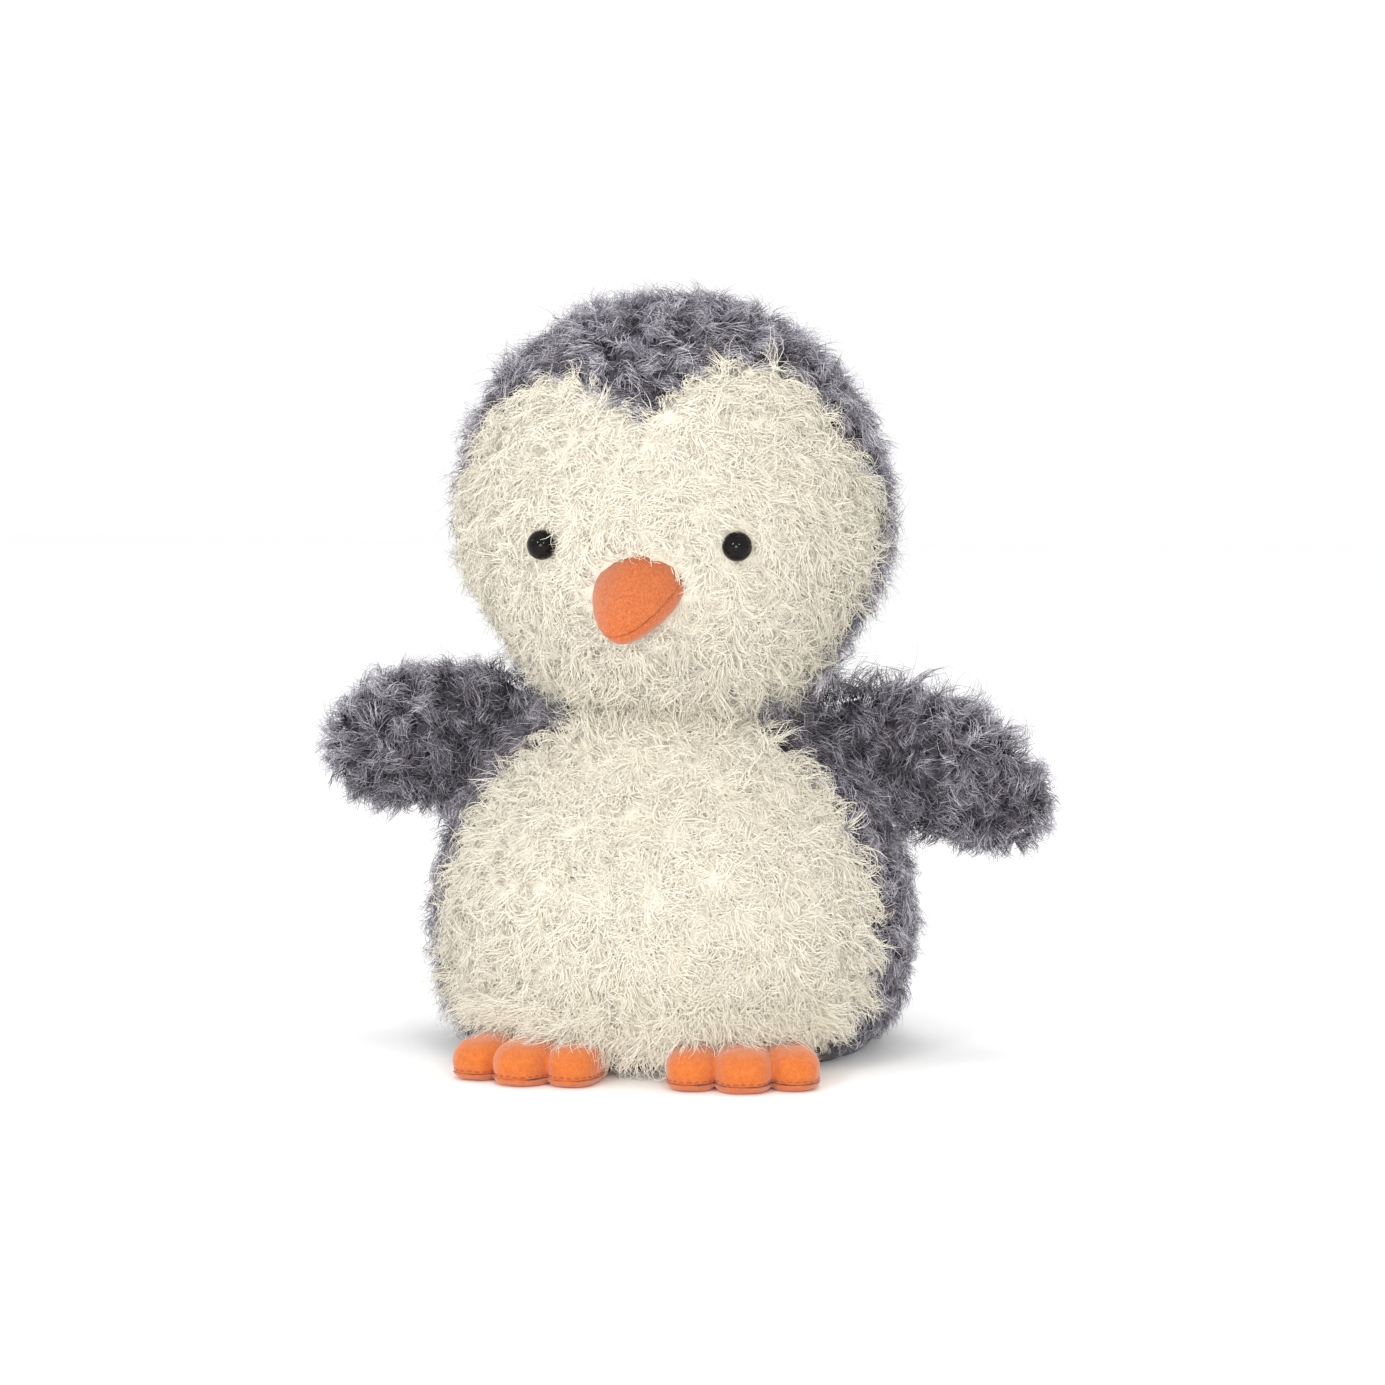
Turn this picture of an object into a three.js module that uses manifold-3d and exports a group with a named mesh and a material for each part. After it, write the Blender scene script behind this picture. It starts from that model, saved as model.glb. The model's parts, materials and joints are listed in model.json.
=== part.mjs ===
// Plush penguin, standing on a flat stitched base, facing -Y, +Z up, millimetres.
// The origin is the middle of the base, on the surface it stands on.
// Every sewn panel is a closed solid of its own: the pile skins are 4 mm thick
// (backing cloth and the packed roots of the pile), and each stuffed part holds
// its own fibre filling.
import * as THREE from 'three';
import { mergeVertices } from 'three/addons/utils/BufferGeometryUtils.js';
import Module from 'manifold-3d';

// ---------------------------------------------------------------- dimensions
const GAP = 0.3;              // clearance between neighbouring pieces
const PILE_SKIN = 4.0;        // thickness of a pile panel
const SUEDE_SKIN = 1.3;       // thickness of the beak and foot panels

// torso: half width at each height, and how deep the oval is
const TORSO_PROFILE = [
  [47.5, 1.2], [49.8, 4.0], [51.6, 8.5], [53.3, 15], [54.6, 23], [54.9, 31], [54.3, 38.5],
  [52.6, 46.5], [49.6, 54], [46.0, 60], [41.6, 66], [36.6, 71.5], [31.2, 76], [26.0, 79],
];
const BASE_RADIUS = 46.0;     // flat part of the base panel
const BASE_TOP = 3.6;         // seam height between the base and the side panels
const TORSO_DEPTH = 0.88;     // depth of the oval over its width
const NECK_DEPTH = 0.95;      // the same at the neck, where it is rounder
const NECK_PIVOT_Z = 85.0;    // centre of the neck's ball of filling
const NECK_BALL_R = 16.0;
const NECK_CONE_DEG = 13.0;   // slope of the torso's top, so the head can nod

// belly panel outline (half), x against height
const BELLY_OUTLINE = [
  [0, 0.5], [30, 0.5], [40.5, 2.5], [45.5, 8], [48.6, 18], [50.2, 29], [49.6, 38],
  [46.8, 47], [42.6, 56], [37.2, 64], [31.6, 71], [26.5, 76], [22.0, 81], [20, 90], [0, 90],
];

// head: half width, half depth and half height of the ball, and its centre
const HEAD_RX = 49.0, HEAD_RY = 45.5, HEAD_RZ = 49.5;
const HEAD_Z = 125.8;
const HEAD_TAPER = 0.055;     // how much narrower the cheeks get towards the neck
const HEAD_TURN_DEG = -1.0;   // the head rests turned slightly to its right
const HEAD_BOTTOM_Z = 85.7;
// edge between hood and face (right half is mirrored), x against height over the head's centre
const FACE_OUTLINE = [
  [0, 23.2], [4.5, 26.4], [9.5, 30.4], [14.5, 33.6], [20.5, 35.2], [26.0, 34.2], [31.5, 30.8],
  [36.0, 26.4], [40.2, 19.6], [44.2, 12.0], [50, 4], [70, -4], [70, -70], [0, -70],
];
const FACE_SIDE_Y = -11.0;    // the side seam of the face lies on this plane

const EYE_X = 21.7, EYE_DROP = 5.2, EYE_R = 3.4, EYE_STAND = 1.7;
const SHANK_R = 1.2, SHANK_LENGTH = 9.0, WASHER_R = 5.0, WASHER_T = 1.2;

const BEAK_Z = 110.4, BEAK_Y = -42.0, BEAK_DROOP_DEG = 33, BEAK_YAW_DEG = -6;
const BEAK_PROFILE = [[10.3, 6], [10.5, 0], [10.1, 3.4], [9.0, 7.2], [7.5, 10.8], [5.9, 13.9], [4.2, 16.4], [2.3, 18.0], [0, 18.6]];
const BEAK_FLATTEN = 0.70, BEAK_SEAM_DROP = 1.5;

// wings: flat stuffed paddles in the plane of the side seams
const WING_THICK = 14.5, WING_ROUND = 0.86;
const LEFT_WING_ROOT = [[33.6, 80.6], [53.4, 54.2]];
const LEFT_WING = [
  [34.2, 81.2], [42, 83.4], [54, 83.6], [65, 80.4], [75, 74.6], [83, 66.6], [87.3, 58.6],
  [85.6, 52.4], [78, 49.8], [68, 50.2], [59, 52.0], [54.4, 54.2],
];
const RIGHT_WING_ROOT = [[-33.6, 80.6], [-53.4, 54.2]];
const RIGHT_WING = [
  [-34.2, 81.2], [-38, 85.6], [-47, 87.4], [-58, 87.2], [-69, 85.6], [-77.5, 80.8], [-82.2, 74.2],
  [-82.6, 67], [-79, 61], [-71, 58.2], [-62, 57.0], [-54.6, 55.6],
];

// feet
const FOOT_X = 22.6, FOOT_Y = -40.4, FOOT_TURN_DEG = 10, SOLE_T = 1.5;
const TOES = [ // centre x, centre y, half width, half length, half height, turn
  [0, -9.2, 6.6, 12.6, 5.5, 0], [-10.7, -7.6, 5.8, 11.6, 5.2, -8], [10.7, -7.6, 5.8, 11.6, 5.2, 8],
  [0, -1.5, 15.2, 9.5, 5.1, 0],
];
const TOE_Z = 4.0;

// ---------------------------------------------------------------- solids
const wasm = await Module();
wasm.setup();

function solid(geometry, matrix) {
  let g = geometry.clone();
  if (matrix) g.applyMatrix4(matrix);
  g.deleteAttribute('normal');
  g.deleteAttribute('uv');
  if (!g.index) g = mergeVertices(g, 1e-4); else g = mergeVertices(g, 1e-4);
  const p = g.attributes.position, idx = g.index.array, tri = [];
  let volume = 0;
  const a = new THREE.Vector3(), b = new THREE.Vector3(), c = new THREE.Vector3();
  for (let i = 0; i < idx.length; i += 3) {
    const [u, v, w] = [idx[i], idx[i + 1], idx[i + 2]];
    if (u === v || v === w || w === u) continue;
    a.fromBufferAttribute(p, u); b.fromBufferAttribute(p, v); c.fromBufferAttribute(p, w);
    volume += a.dot(b.clone().cross(c));
    tri.push(u, v, w);
  }
  if (volume < 0) for (let i = 0; i < tri.length; i += 3) [tri[i], tri[i + 1]] = [tri[i + 1], tri[i]];
  return new wasm.Manifold(new wasm.Mesh({
    numProp: 3, vertProperties: new Float32Array(p.array), triVerts: new Uint32Array(tri),
  }));
}

function geometryOf(manifold) {
  const m = manifold.getMesh();
  const g = new THREE.BufferGeometry();
  g.setAttribute('position', new THREE.BufferAttribute(Float32Array.from(m.vertProperties), 3));
  g.setIndex(new THREE.BufferAttribute(Uint32Array.from(m.triVerts), 1));
  g.computeVertexNormals();
  return g;
}

const shiftM = (x, y, z) => new THREE.Matrix4().makeTranslation(x, y, z);
const upright = new THREE.Matrix4().makeRotationX(Math.PI / 2); // lathe axis Y becomes Z

function block(x0, x1, y0, y1, z0, z1) {
  return solid(new THREE.BoxGeometry(x1 - x0, y1 - y0, z1 - z0),
    shiftM((x0 + x1) / 2, (y0 + y1) / 2, (z0 + z1) / 2));
}

// an outline in the XZ plane pushed out along Y from y0 to y1
function plate(points, y0, y1) {
  const shape = new THREE.Shape(points.map(([x, z]) => new THREE.Vector2(x, z)));
  const g = new THREE.ExtrudeGeometry(shape, { depth: y1 - y0, bevelEnabled: false, curveSegments: 1 });
  return solid(g, new THREE.Matrix4().makeRotationX(Math.PI / 2).premultiply(shiftM(0, y1, 0)));
}

// moves every point of a closed outline outwards by d
function grown(points, d) {
  const n = points.length;
  let area = 0;
  points.forEach(([x, y], i) => { const [u, v] = points[(i + 1) % n]; area += x * v - u * y; });
  const s = area > 0 ? 1 : -1;
  return points.map(([x, y], i) => {
    const [px, py] = points[(i + n - 1) % n], [qx, qy] = points[(i + 1) % n];
    const e = new THREE.Vector2(x - px, y - py).normalize(), f = new THREE.Vector2(qx - x, qy - y).normalize();
    const m = new THREE.Vector2(e.y + f.y, -e.x - f.x).normalize().multiplyScalar(s);
    const k = Math.max(0.5, m.x * s * e.y - m.y * s * e.x);
    return [x + m.x * d / k, y + m.y * d / k];
  });
}

const mirrored = (half) => {
  const inner = half.filter(([x]) => x > 0).map(([x, z]) => [-x, z]).reverse();
  return [...half, ...inner];
};

const latheOf = (points, segments) => new THREE.LatheGeometry(points.map(([r, z]) => new THREE.Vector2(r, z)), segments);

function moved(geometry, change) {
  const p = geometry.attributes.position, v = new THREE.Vector3();
  for (let i = 0; i < p.count; i++) {
    v.fromBufferAttribute(p, i);
    change(v);
    p.setXYZ(i, v.x, v.y, v.z);
  }
  return geometry;
}
const smooth = (t) => { t = Math.min(1, Math.max(0, t)); return t * t * (3 - 2 * t); };

// ---------------------------------------------------------------- torso
const depthAt = (z) => TORSO_DEPTH + (NECK_DEPTH - TORSO_DEPTH) * smooth((z - 62) / 16);

// the torso's oval body, drawn in by inset all over
function torsoBody(inset, bottom, segments) {
  const pts = [[0, bottom]];
  if (bottom === 0) pts.push([BASE_RADIUS, 0]);
  const side = TORSO_PROFILE.filter(([, z]) => z > bottom + 0.8 || bottom === 0);
  const first = side[0][0] - inset;
  if (bottom !== 0) pts.push([first - 1.2, bottom]);
  side.forEach(([r, z]) => pts.push([r - inset * (z > 66 ? 1.25 : z > 50 ? 1.1 : 1), z - (z > 70 ? inset * 0.2 : 0)]));
  pts.push([0, side.at(-1)[1] - (inset > 0 ? inset * 0.2 : 0)]);
  const g = latheOf(pts, segments).applyMatrix4(upright);
  return solid(moved(g, (v) => { v.y *= depthAt(v.z); }));
}
const cone = solid(moved(latheOf([[0, 0], [0, 0]].slice(0, 1).concat([[70, -70 * Math.tan(THREE.MathUtils.degToRad(NECK_CONE_DEG))], [70, 30], [0, 30]]), 40)
  .applyMatrix4(upright), (v) => { v.z += NECK_PIVOT_Z - 0.2; }));
const ballClear = solid(new THREE.SphereGeometry(NECK_BALL_R + 0.6, 20, 12).applyMatrix4(upright), shiftM(0, 0, NECK_PIVOT_Z));

const torsoOuter = torsoBody(0, 0, 36).subtract(cone);
const torsoInner = torsoBody(PILE_SKIN, BASE_TOP, 24);
const torsoShell = torsoOuter.subtract(torsoInner).subtract(block(-90, 90, -90, 90, -1, BASE_TOP + GAP)).subtract(ballClear);
const bellyHalf = BELLY_OUTLINE;
const belly = torsoShell.intersect(plate(mirrored(bellyHalf), -90, 0));
const backs = torsoShell.subtract(plate(grown(mirrored(bellyHalf), GAP), -90, 1e-3 + GAP));
const backLeft = backs.intersect(block(GAP / 2, 90, -90, 90, -1, 99));
const backRight = backs.intersect(block(-90, -GAP / 2, -90, 90, -1, 99));
const basePanel = torsoOuter.intersect(block(-90, 90, -90, 90, -1, BASE_TOP));

// pellet pouch on the base, and the filling over it
const pouchAt = (grow) => solid(moved(latheOf([[0, BASE_TOP + GAP - (grow > 0 ? 3 : 0)], [31 + grow, BASE_TOP + GAP - (grow > 0 ? 3 : 0)], [34 + grow, 8],
  [31.5 + grow, 13 + grow * 0.7], [22, 16 + grow], [10, 17.4 + grow], [0, 17.8 + grow]], 32).applyMatrix4(upright), (v) => { v.y *= 0.85; }));
const beanPouch = pouchAt(0);
const bodyFilling = torsoBody(PILE_SKIN + GAP + 0.15, BASE_TOP + GAP, 24).subtract(pouchAt(GAP + 0.1)).subtract(cone).subtract(ballClear);

const neckFilling = solid(new THREE.SphereGeometry(NECK_BALL_R, 18, 12).applyMatrix4(upright), shiftM(0, 0, NECK_PIVOT_Z));

// ---------------------------------------------------------------- head
// everything of the head is drawn about the vertical axis and turned at the end
function headBall(inset, w, h) {
  const g = new THREE.SphereGeometry(1, w, h).applyMatrix4(upright);
  return solid(moved(g, (v) => {
    const taper = 1 - HEAD_TAPER * smooth(-v.z * 1.5);
    v.x *= (HEAD_RX - inset) * taper;
    v.y *= (HEAD_RY - inset) * taper;
    v.z = HEAD_Z + v.z * (HEAD_RZ - inset);
  }));
}
const aboveNeck = (s) => s.intersect(block(-90, 90, -90, 90, HEAD_BOTTOM_Z, 200)).subtract(ballClear);
const headOuter = headBall(0, 36, 20);
const headInner = headBall(PILE_SKIN, 24, 14);
let headShell = aboveNeck(headOuter.subtract(headInner));

const eyeSpots = [1, -1].map((s) => {
  const x = s * EYE_X, z = -EYE_DROP;
  const y = -HEAD_RY * Math.sqrt(1 - (x / HEAD_RX) ** 2 - (z / HEAD_RZ) ** 2);
  const at = new THREE.Vector3(x, y, HEAD_Z + z);
  const out = new THREE.Vector3(x / HEAD_RX ** 2, y / HEAD_RY ** 2, z / HEAD_RZ ** 2).normalize();
  return { at, out };
});
// a solid drawn along +Z, placed so that its Z axis runs out of the face
const onFace = (geometry, spot, along) => {
  const q = new THREE.Quaternion().setFromUnitVectors(new THREE.Vector3(0, 0, 1), spot.out);
  const m = new THREE.Matrix4().compose(spot.at.clone().addScaledVector(spot.out, along), q, new THREE.Vector3(1, 1, 1));
  return solid(geometry, m);
};
const rod = (r, length, n) => new THREE.CylinderGeometry(r, r, length, n).applyMatrix4(upright);
const eyes = eyeSpots.map((s) => onFace(new THREE.SphereGeometry(EYE_R, 16, 10).applyMatrix4(upright), s, EYE_STAND)
  .add(onFace(rod(SHANK_R, SHANK_LENGTH, 8), s, EYE_STAND - SHANK_LENGTH / 2)));
const WASHER_AT = -(PILE_SKIN + 1.3 + WASHER_T / 2);
const washers = eyeSpots.map((s) => onFace(rod(WASHER_R, WASHER_T, 14), s, WASHER_AT).subtract(onFace(rod(SHANK_R + GAP + 0.1, 6, 8), s, WASHER_AT)));
eyeSpots.forEach((s) => {
  headShell = headShell.subtract(onFace(new THREE.SphereGeometry(EYE_R + GAP + 0.1, 12, 8).applyMatrix4(upright), s, EYE_STAND))
    .subtract(onFace(rod(SHANK_R + GAP + 0.1, 14, 8), s, -4));
});

const faceCutter = (d) => plate(grown(mirrored(FACE_OUTLINE), d).map(([x, z]) => [x, z + HEAD_Z]), -90, FACE_SIDE_Y + d);
const face = headShell.intersect(faceCutter(0));
const hood = headShell.subtract(faceCutter(GAP));
const sideOf = (s, positive) => s.intersect(positive ? block(GAP / 2, 90, -90, 90, 40, 200) : block(-90, -GAP / 2, -90, 90, 40, 200));
let headFilling = aboveNeck(headBall(PILE_SKIN + GAP + 0.15, 24, 14));
eyeSpots.forEach((s) => {
  headFilling = headFilling.subtract(onFace(rod(WASHER_R + GAP + 0.1, 6, 14), s, WASHER_AT - WASHER_T / 2 - GAP + 3))
    .subtract(onFace(rod(SHANK_R + GAP + 0.1, 12, 8), s, -6));
});

// beak: a blunt flattened cone of two suede panels round its own filling
const beakFrame = new THREE.Matrix4().makeRotationZ(THREE.MathUtils.degToRad(BEAK_YAW_DEG))
  .multiply(new THREE.Matrix4().makeRotationX(THREE.MathUtils.degToRad(BEAK_DROOP_DEG))).setPosition(0, BEAK_Y, BEAK_Z);
function beakCone(inset) {
  const pts = BEAK_PROFILE.map(([r, t], i) => [Math.max(0, i === BEAK_PROFILE.length - 1 ? 0 : r - inset), i === 0 ? -6 : t - inset * (t / 19)]);
  const g = new THREE.LatheGeometry([new THREE.Vector2(0, -6), ...pts.map(([r, t]) => new THREE.Vector2(r, t))], 20);
  g.rotateX(Math.PI); // the tip points along -Y
  return solid(moved(g, (v) => { v.z *= BEAK_FLATTEN; }), beakFrame);
}
const beakHalf = (up) => {
  const g = new THREE.BoxGeometry(60, 80, 30);
  g.translate(0, 0, up ? 15 + GAP / 2 - BEAK_SEAM_DROP : -15 - GAP / 2 - BEAK_SEAM_DROP);
  return solid(g, beakFrame);
};
const headGrown = headBall(-GAP, 36, 20);
const beakShell = beakCone(0).subtract(beakCone(SUEDE_SKIN)).subtract(headGrown);
const beakUpper = beakShell.intersect(beakHalf(true));
const beakLower = beakShell.intersect(beakHalf(false));
const beakFilling = beakCone(SUEDE_SKIN + GAP).subtract(headGrown);

// ---------------------------------------------------------------- wings
// a stuffed paddle: a ball drawn out to the outline, pillow shaped, thin at the root seam
function paddle(outline, root, inset, around, across) {
  const curve = new THREE.CatmullRomCurve3(outline.map(([x, z]) => new THREE.Vector3(x, 0, z)), true, 'centripetal');
  const pts = curve.getSpacedPoints(160);
  const box = new THREE.Box3().setFromPoints(pts), mid = box.getCenter(new THREE.Vector3());
  const reach = (ux, uz) => { // distance from the middle to the outline in one direction
    let best = 0;
    for (let i = 0; i < pts.length - 1; i++) {
      const ax = pts[i].x - mid.x, az = pts[i].z - mid.z, bx = pts[i + 1].x - mid.x, bz = pts[i + 1].z - mid.z;
      const ca = ux * az - uz * ax, cb = ux * bz - uz * bx;
      if (ca * cb > 0) continue;
      const t = ca / (ca - cb || 1e-9), d = (ax + (bx - ax) * t) * ux + (az + (bz - az) * t) * uz;
      best = Math.max(best, d);
    }
    return best;
  };
  const [a, b] = root, dx = b[0] - a[0], dz = b[1] - a[1], len = Math.hypot(dx, dz);
  const g = new THREE.SphereGeometry(1, around, across);
  return solid(moved(g, (v) => {
    const r = Math.hypot(v.x, v.z), up = v.y;
    let x = mid.x, z = mid.z;
    if (r > 1e-6) {
      const far = (reach(v.x / r, v.z / r) - inset) * r ** WING_ROUND;
      x += v.x / r * far; z += v.z / r * far;
    }
    const s = Math.abs((x - a[0]) * dz - (z - a[1]) * dx) / len;
    const thin = 0.34 + 0.66 * smooth(s / 20);
    v.set(x, Math.sign(up) * Math.abs(up) ** WING_ROUND * (WING_THICK / 2 - inset) * thin, z);
  }));
}
function wing(outline, root) {
  const outer = paddle(outline, root, 0, 26, 10);
  const shell = outer.subtract(paddle(outline, root, PILE_SKIN - 0.2, 16, 8));
  return {
    front: shell.intersect(block(-99, 99, -40, -GAP / 2, 0, 140)),
    back: shell.intersect(block(-99, 99, GAP / 2, 40, 0, 140)),
    filling: paddle(outline, root, PILE_SKIN + 0.3, 16, 8),
  };
}
const leftWing = wing(LEFT_WING, LEFT_WING_ROOT);
const rightWing = wing(RIGHT_WING, RIGHT_WING_ROOT);

// ---------------------------------------------------------------- feet
// three rounded toes on a flat sole, their backs sloped away from the body so they can lift
const clearCone = solid(latheOf([[0, -4], [46.4, -4], [49.5, 0.4], [50.9, 3.6], [57.4, 13], [58, 20], [0, 20]], 28).applyMatrix4(upright)
  .applyMatrix4(new THREE.Matrix4().makeScale(1, TORSO_DEPTH, 1)));
function foot(side) {
  const place = new THREE.Matrix4().makeRotationZ(THREE.MathUtils.degToRad(side * FOOT_TURN_DEG)).setPosition(side * FOOT_X, FOOT_Y, 0);
  const toes = (inset, around, across) => {
    let body = null;
    TOES.forEach(([x, y, a, b, c, turn]) => {
      const g = new THREE.SphereGeometry(1, around, across).applyMatrix4(upright);
      g.scale(a - inset, b - inset, c - inset);
      g.rotateZ(THREE.MathUtils.degToRad(turn));
      g.translate(x, y, TOE_Z);
      const s = solid(g, place);
      body = body ? body.add(s) : s;
    });
    return body;
  };
  const outer = toes(0, 14, 8).subtract(clearCone).intersect(block(-90, 90, -90, 90, 0, 30));
  const inner = toes(SUEDE_SKIN + 0.1, 8, 6);
  return {
    upper: outer.subtract(inner).intersect(block(-90, 90, -90, 90, SOLE_T + GAP, 30)),
    sole: outer.intersect(block(-90, 90, -90, 90, -1, SOLE_T)),
    filling: toes(SUEDE_SKIN + GAP + 0.25, 8, 5).subtract(clearCone).intersect(block(-90, 90, -90, 90, SOLE_T + GAP, 30)),
  };
}
const leftFoot = foot(1);
const rightFoot = foot(-1);

// ---------------------------------------------------------------- assembly
const cream = () => new THREE.MeshStandardMaterial({ color: 0xf0e9d8, roughness: 0.95, metalness: 0 });
const grey = () => new THREE.MeshStandardMaterial({ color: 0x6f6b73, roughness: 0.95, metalness: 0 });
const orange = () => new THREE.MeshStandardMaterial({ color: 0xee8b52, roughness: 0.9, metalness: 0 });
const white = () => new THREE.MeshStandardMaterial({ color: 0xf5f5f2, roughness: 0.95, metalness: 0 });
const black = () => new THREE.MeshStandardMaterial({ color: 0x0c0b0b, roughness: 0.1, metalness: 0 });
const clear = () => new THREE.MeshStandardMaterial({ color: 0xe6e6e0, roughness: 0.6, metalness: 0 });
const canvas = () => new THREE.MeshStandardMaterial({ color: 0xd9d4c6, roughness: 0.9, metalness: 0 });

const penguin = new THREE.Group();
const torso = new THREE.Group(), neck = new THREE.Group(), head = new THREE.Group();
head.rotation.z = THREE.MathUtils.degToRad(HEAD_TURN_DEG);
penguin.add(torso, neck, head);

function add(group, name, manifold, material) {
  const mesh = new THREE.Mesh(geometryOf(manifold), material);
  mesh.name = name;
  group.add(mesh);
}

add(torso, 'belly_panel', belly, cream());
add(torso, 'back_panel_left', backLeft, grey());
add(torso, 'back_panel_right', backRight, grey());
add(torso, 'base_panel', basePanel, grey());
add(torso, 'body_filling', bodyFilling, white());
add(torso, 'pellet_pouch', beanPouch, canvas());
add(neck, 'neck_filling', neckFilling, white());
add(head, 'face_left', sideOf(face, true), cream());
add(head, 'face_right', sideOf(face, false), cream());
add(head, 'hood_left', sideOf(hood, true), grey());
add(head, 'hood_right', sideOf(hood, false), grey());
add(head, 'head_filling', headFilling, white());
add(head, 'left_eye', eyes[0], black());
add(head, 'right_eye', eyes[1], black());
add(head, 'left_eye_washer', washers[0], clear());
add(head, 'right_eye_washer', washers[1], clear());
add(head, 'beak_upper', beakUpper, orange());
add(head, 'beak_lower', beakLower, orange());
add(head, 'beak_filling', beakFilling, white());
for (const [side, w, f] of [['left', leftWing, leftFoot], ['right', rightWing, rightFoot]]) {
  const wingGroup = new THREE.Group(), footGroup = new THREE.Group();
  add(wingGroup, `${side}_wing_front`, w.front, grey());
  add(wingGroup, `${side}_wing_back`, w.back, grey());
  add(wingGroup, `${side}_wing_filling`, w.filling, white());
  add(footGroup, `${side}_foot_upper`, f.upper, orange());
  add(footGroup, `${side}_foot_sole`, f.sole, orange());
  add(footGroup, `${side}_foot_filling`, f.filling, white());
  penguin.add(wingGroup, footGroup);
}

export default penguin;
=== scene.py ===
import json
import math

import bmesh
import bpy
import numpy as np
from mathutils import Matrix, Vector
from mathutils.bvhtree import BVHTree

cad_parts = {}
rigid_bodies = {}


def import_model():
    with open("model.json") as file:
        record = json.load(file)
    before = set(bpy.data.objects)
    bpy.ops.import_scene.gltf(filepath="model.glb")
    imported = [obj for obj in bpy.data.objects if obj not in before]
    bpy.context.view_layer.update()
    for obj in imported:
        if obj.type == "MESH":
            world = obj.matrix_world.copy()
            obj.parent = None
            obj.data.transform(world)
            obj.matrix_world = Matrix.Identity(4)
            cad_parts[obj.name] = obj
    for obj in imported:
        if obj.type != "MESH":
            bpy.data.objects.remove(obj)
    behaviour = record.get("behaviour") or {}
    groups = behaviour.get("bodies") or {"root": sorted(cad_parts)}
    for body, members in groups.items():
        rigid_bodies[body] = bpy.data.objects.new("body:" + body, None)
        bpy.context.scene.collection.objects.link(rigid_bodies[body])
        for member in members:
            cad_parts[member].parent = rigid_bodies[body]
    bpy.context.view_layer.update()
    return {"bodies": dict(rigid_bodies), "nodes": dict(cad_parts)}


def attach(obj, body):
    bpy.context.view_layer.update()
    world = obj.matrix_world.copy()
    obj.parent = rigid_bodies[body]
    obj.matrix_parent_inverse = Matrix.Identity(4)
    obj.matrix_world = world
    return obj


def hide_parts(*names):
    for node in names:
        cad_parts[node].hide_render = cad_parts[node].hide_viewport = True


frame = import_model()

MM = 0.001
scene = bpy.context.scene
body_names = set(frame["bodies"])

# ------------------------------------------------------------------ camera
AZ, EL, LENS = math.radians(9.5), math.radians(5.0), 85.0
WIDE_MM = 330.2  # what the frame is wide at the toy
TARGET = np.array([4.4 * math.cos(AZ), 4.4 * math.sin(AZ), 83.7])
back = np.array([math.sin(AZ) * math.cos(EL), -math.cos(AZ) * math.cos(EL), math.sin(EL)])
cam_data = bpy.data.cameras.new("camera")
cam_data.lens, cam_data.sensor_width = LENS, 36.0
cam_data.clip_start, cam_data.clip_end = 0.01, 20.0
cam = bpy.data.objects.new("camera", cam_data)
scene.collection.objects.link(cam)
cam.location = Vector((TARGET + back * (WIDE_MM / 2 * LENS / 18)) * MM)
cam.rotation_euler = (-Vector(back)).to_track_quat("-Z", "Y").to_euler()
scene.camera = cam
scene.view_settings.view_transform = "Standard"
scene.view_settings.look = "None"
scene.cycles.max_bounces, scene.cycles.diffuse_bounces = 12, 9


# ------------------------------------------------------------------ materials
def lin(*rgb):
    """An sRGB colour given as 0 to 255, as linear values."""
    c = np.array(rgb, float) / 255
    return tuple(np.where(c <= 0.04045, c / 12.92, ((c + 0.055) / 1.055) ** 2.4)) + (1.0,)


def plain(name, rgb, rough=0.6, sheen=0.0, spec=0.3):
    """A fibre finish: the same all along one stretch of a fibre, so everything sits on the shader's own sockets."""
    m = bpy.data.materials.new(name)
    m.use_nodes = True
    b = m.node_tree.nodes["Principled BSDF"]
    b.inputs["Base Color"].default_value = lin(*rgb)
    b.inputs["Roughness"].default_value = rough
    b.inputs["Specular IOR Level"].default_value = spec
    b.inputs["Sheen Weight"].default_value = sheen
    m.diffuse_color = lin(*rgb)
    return m


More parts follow.
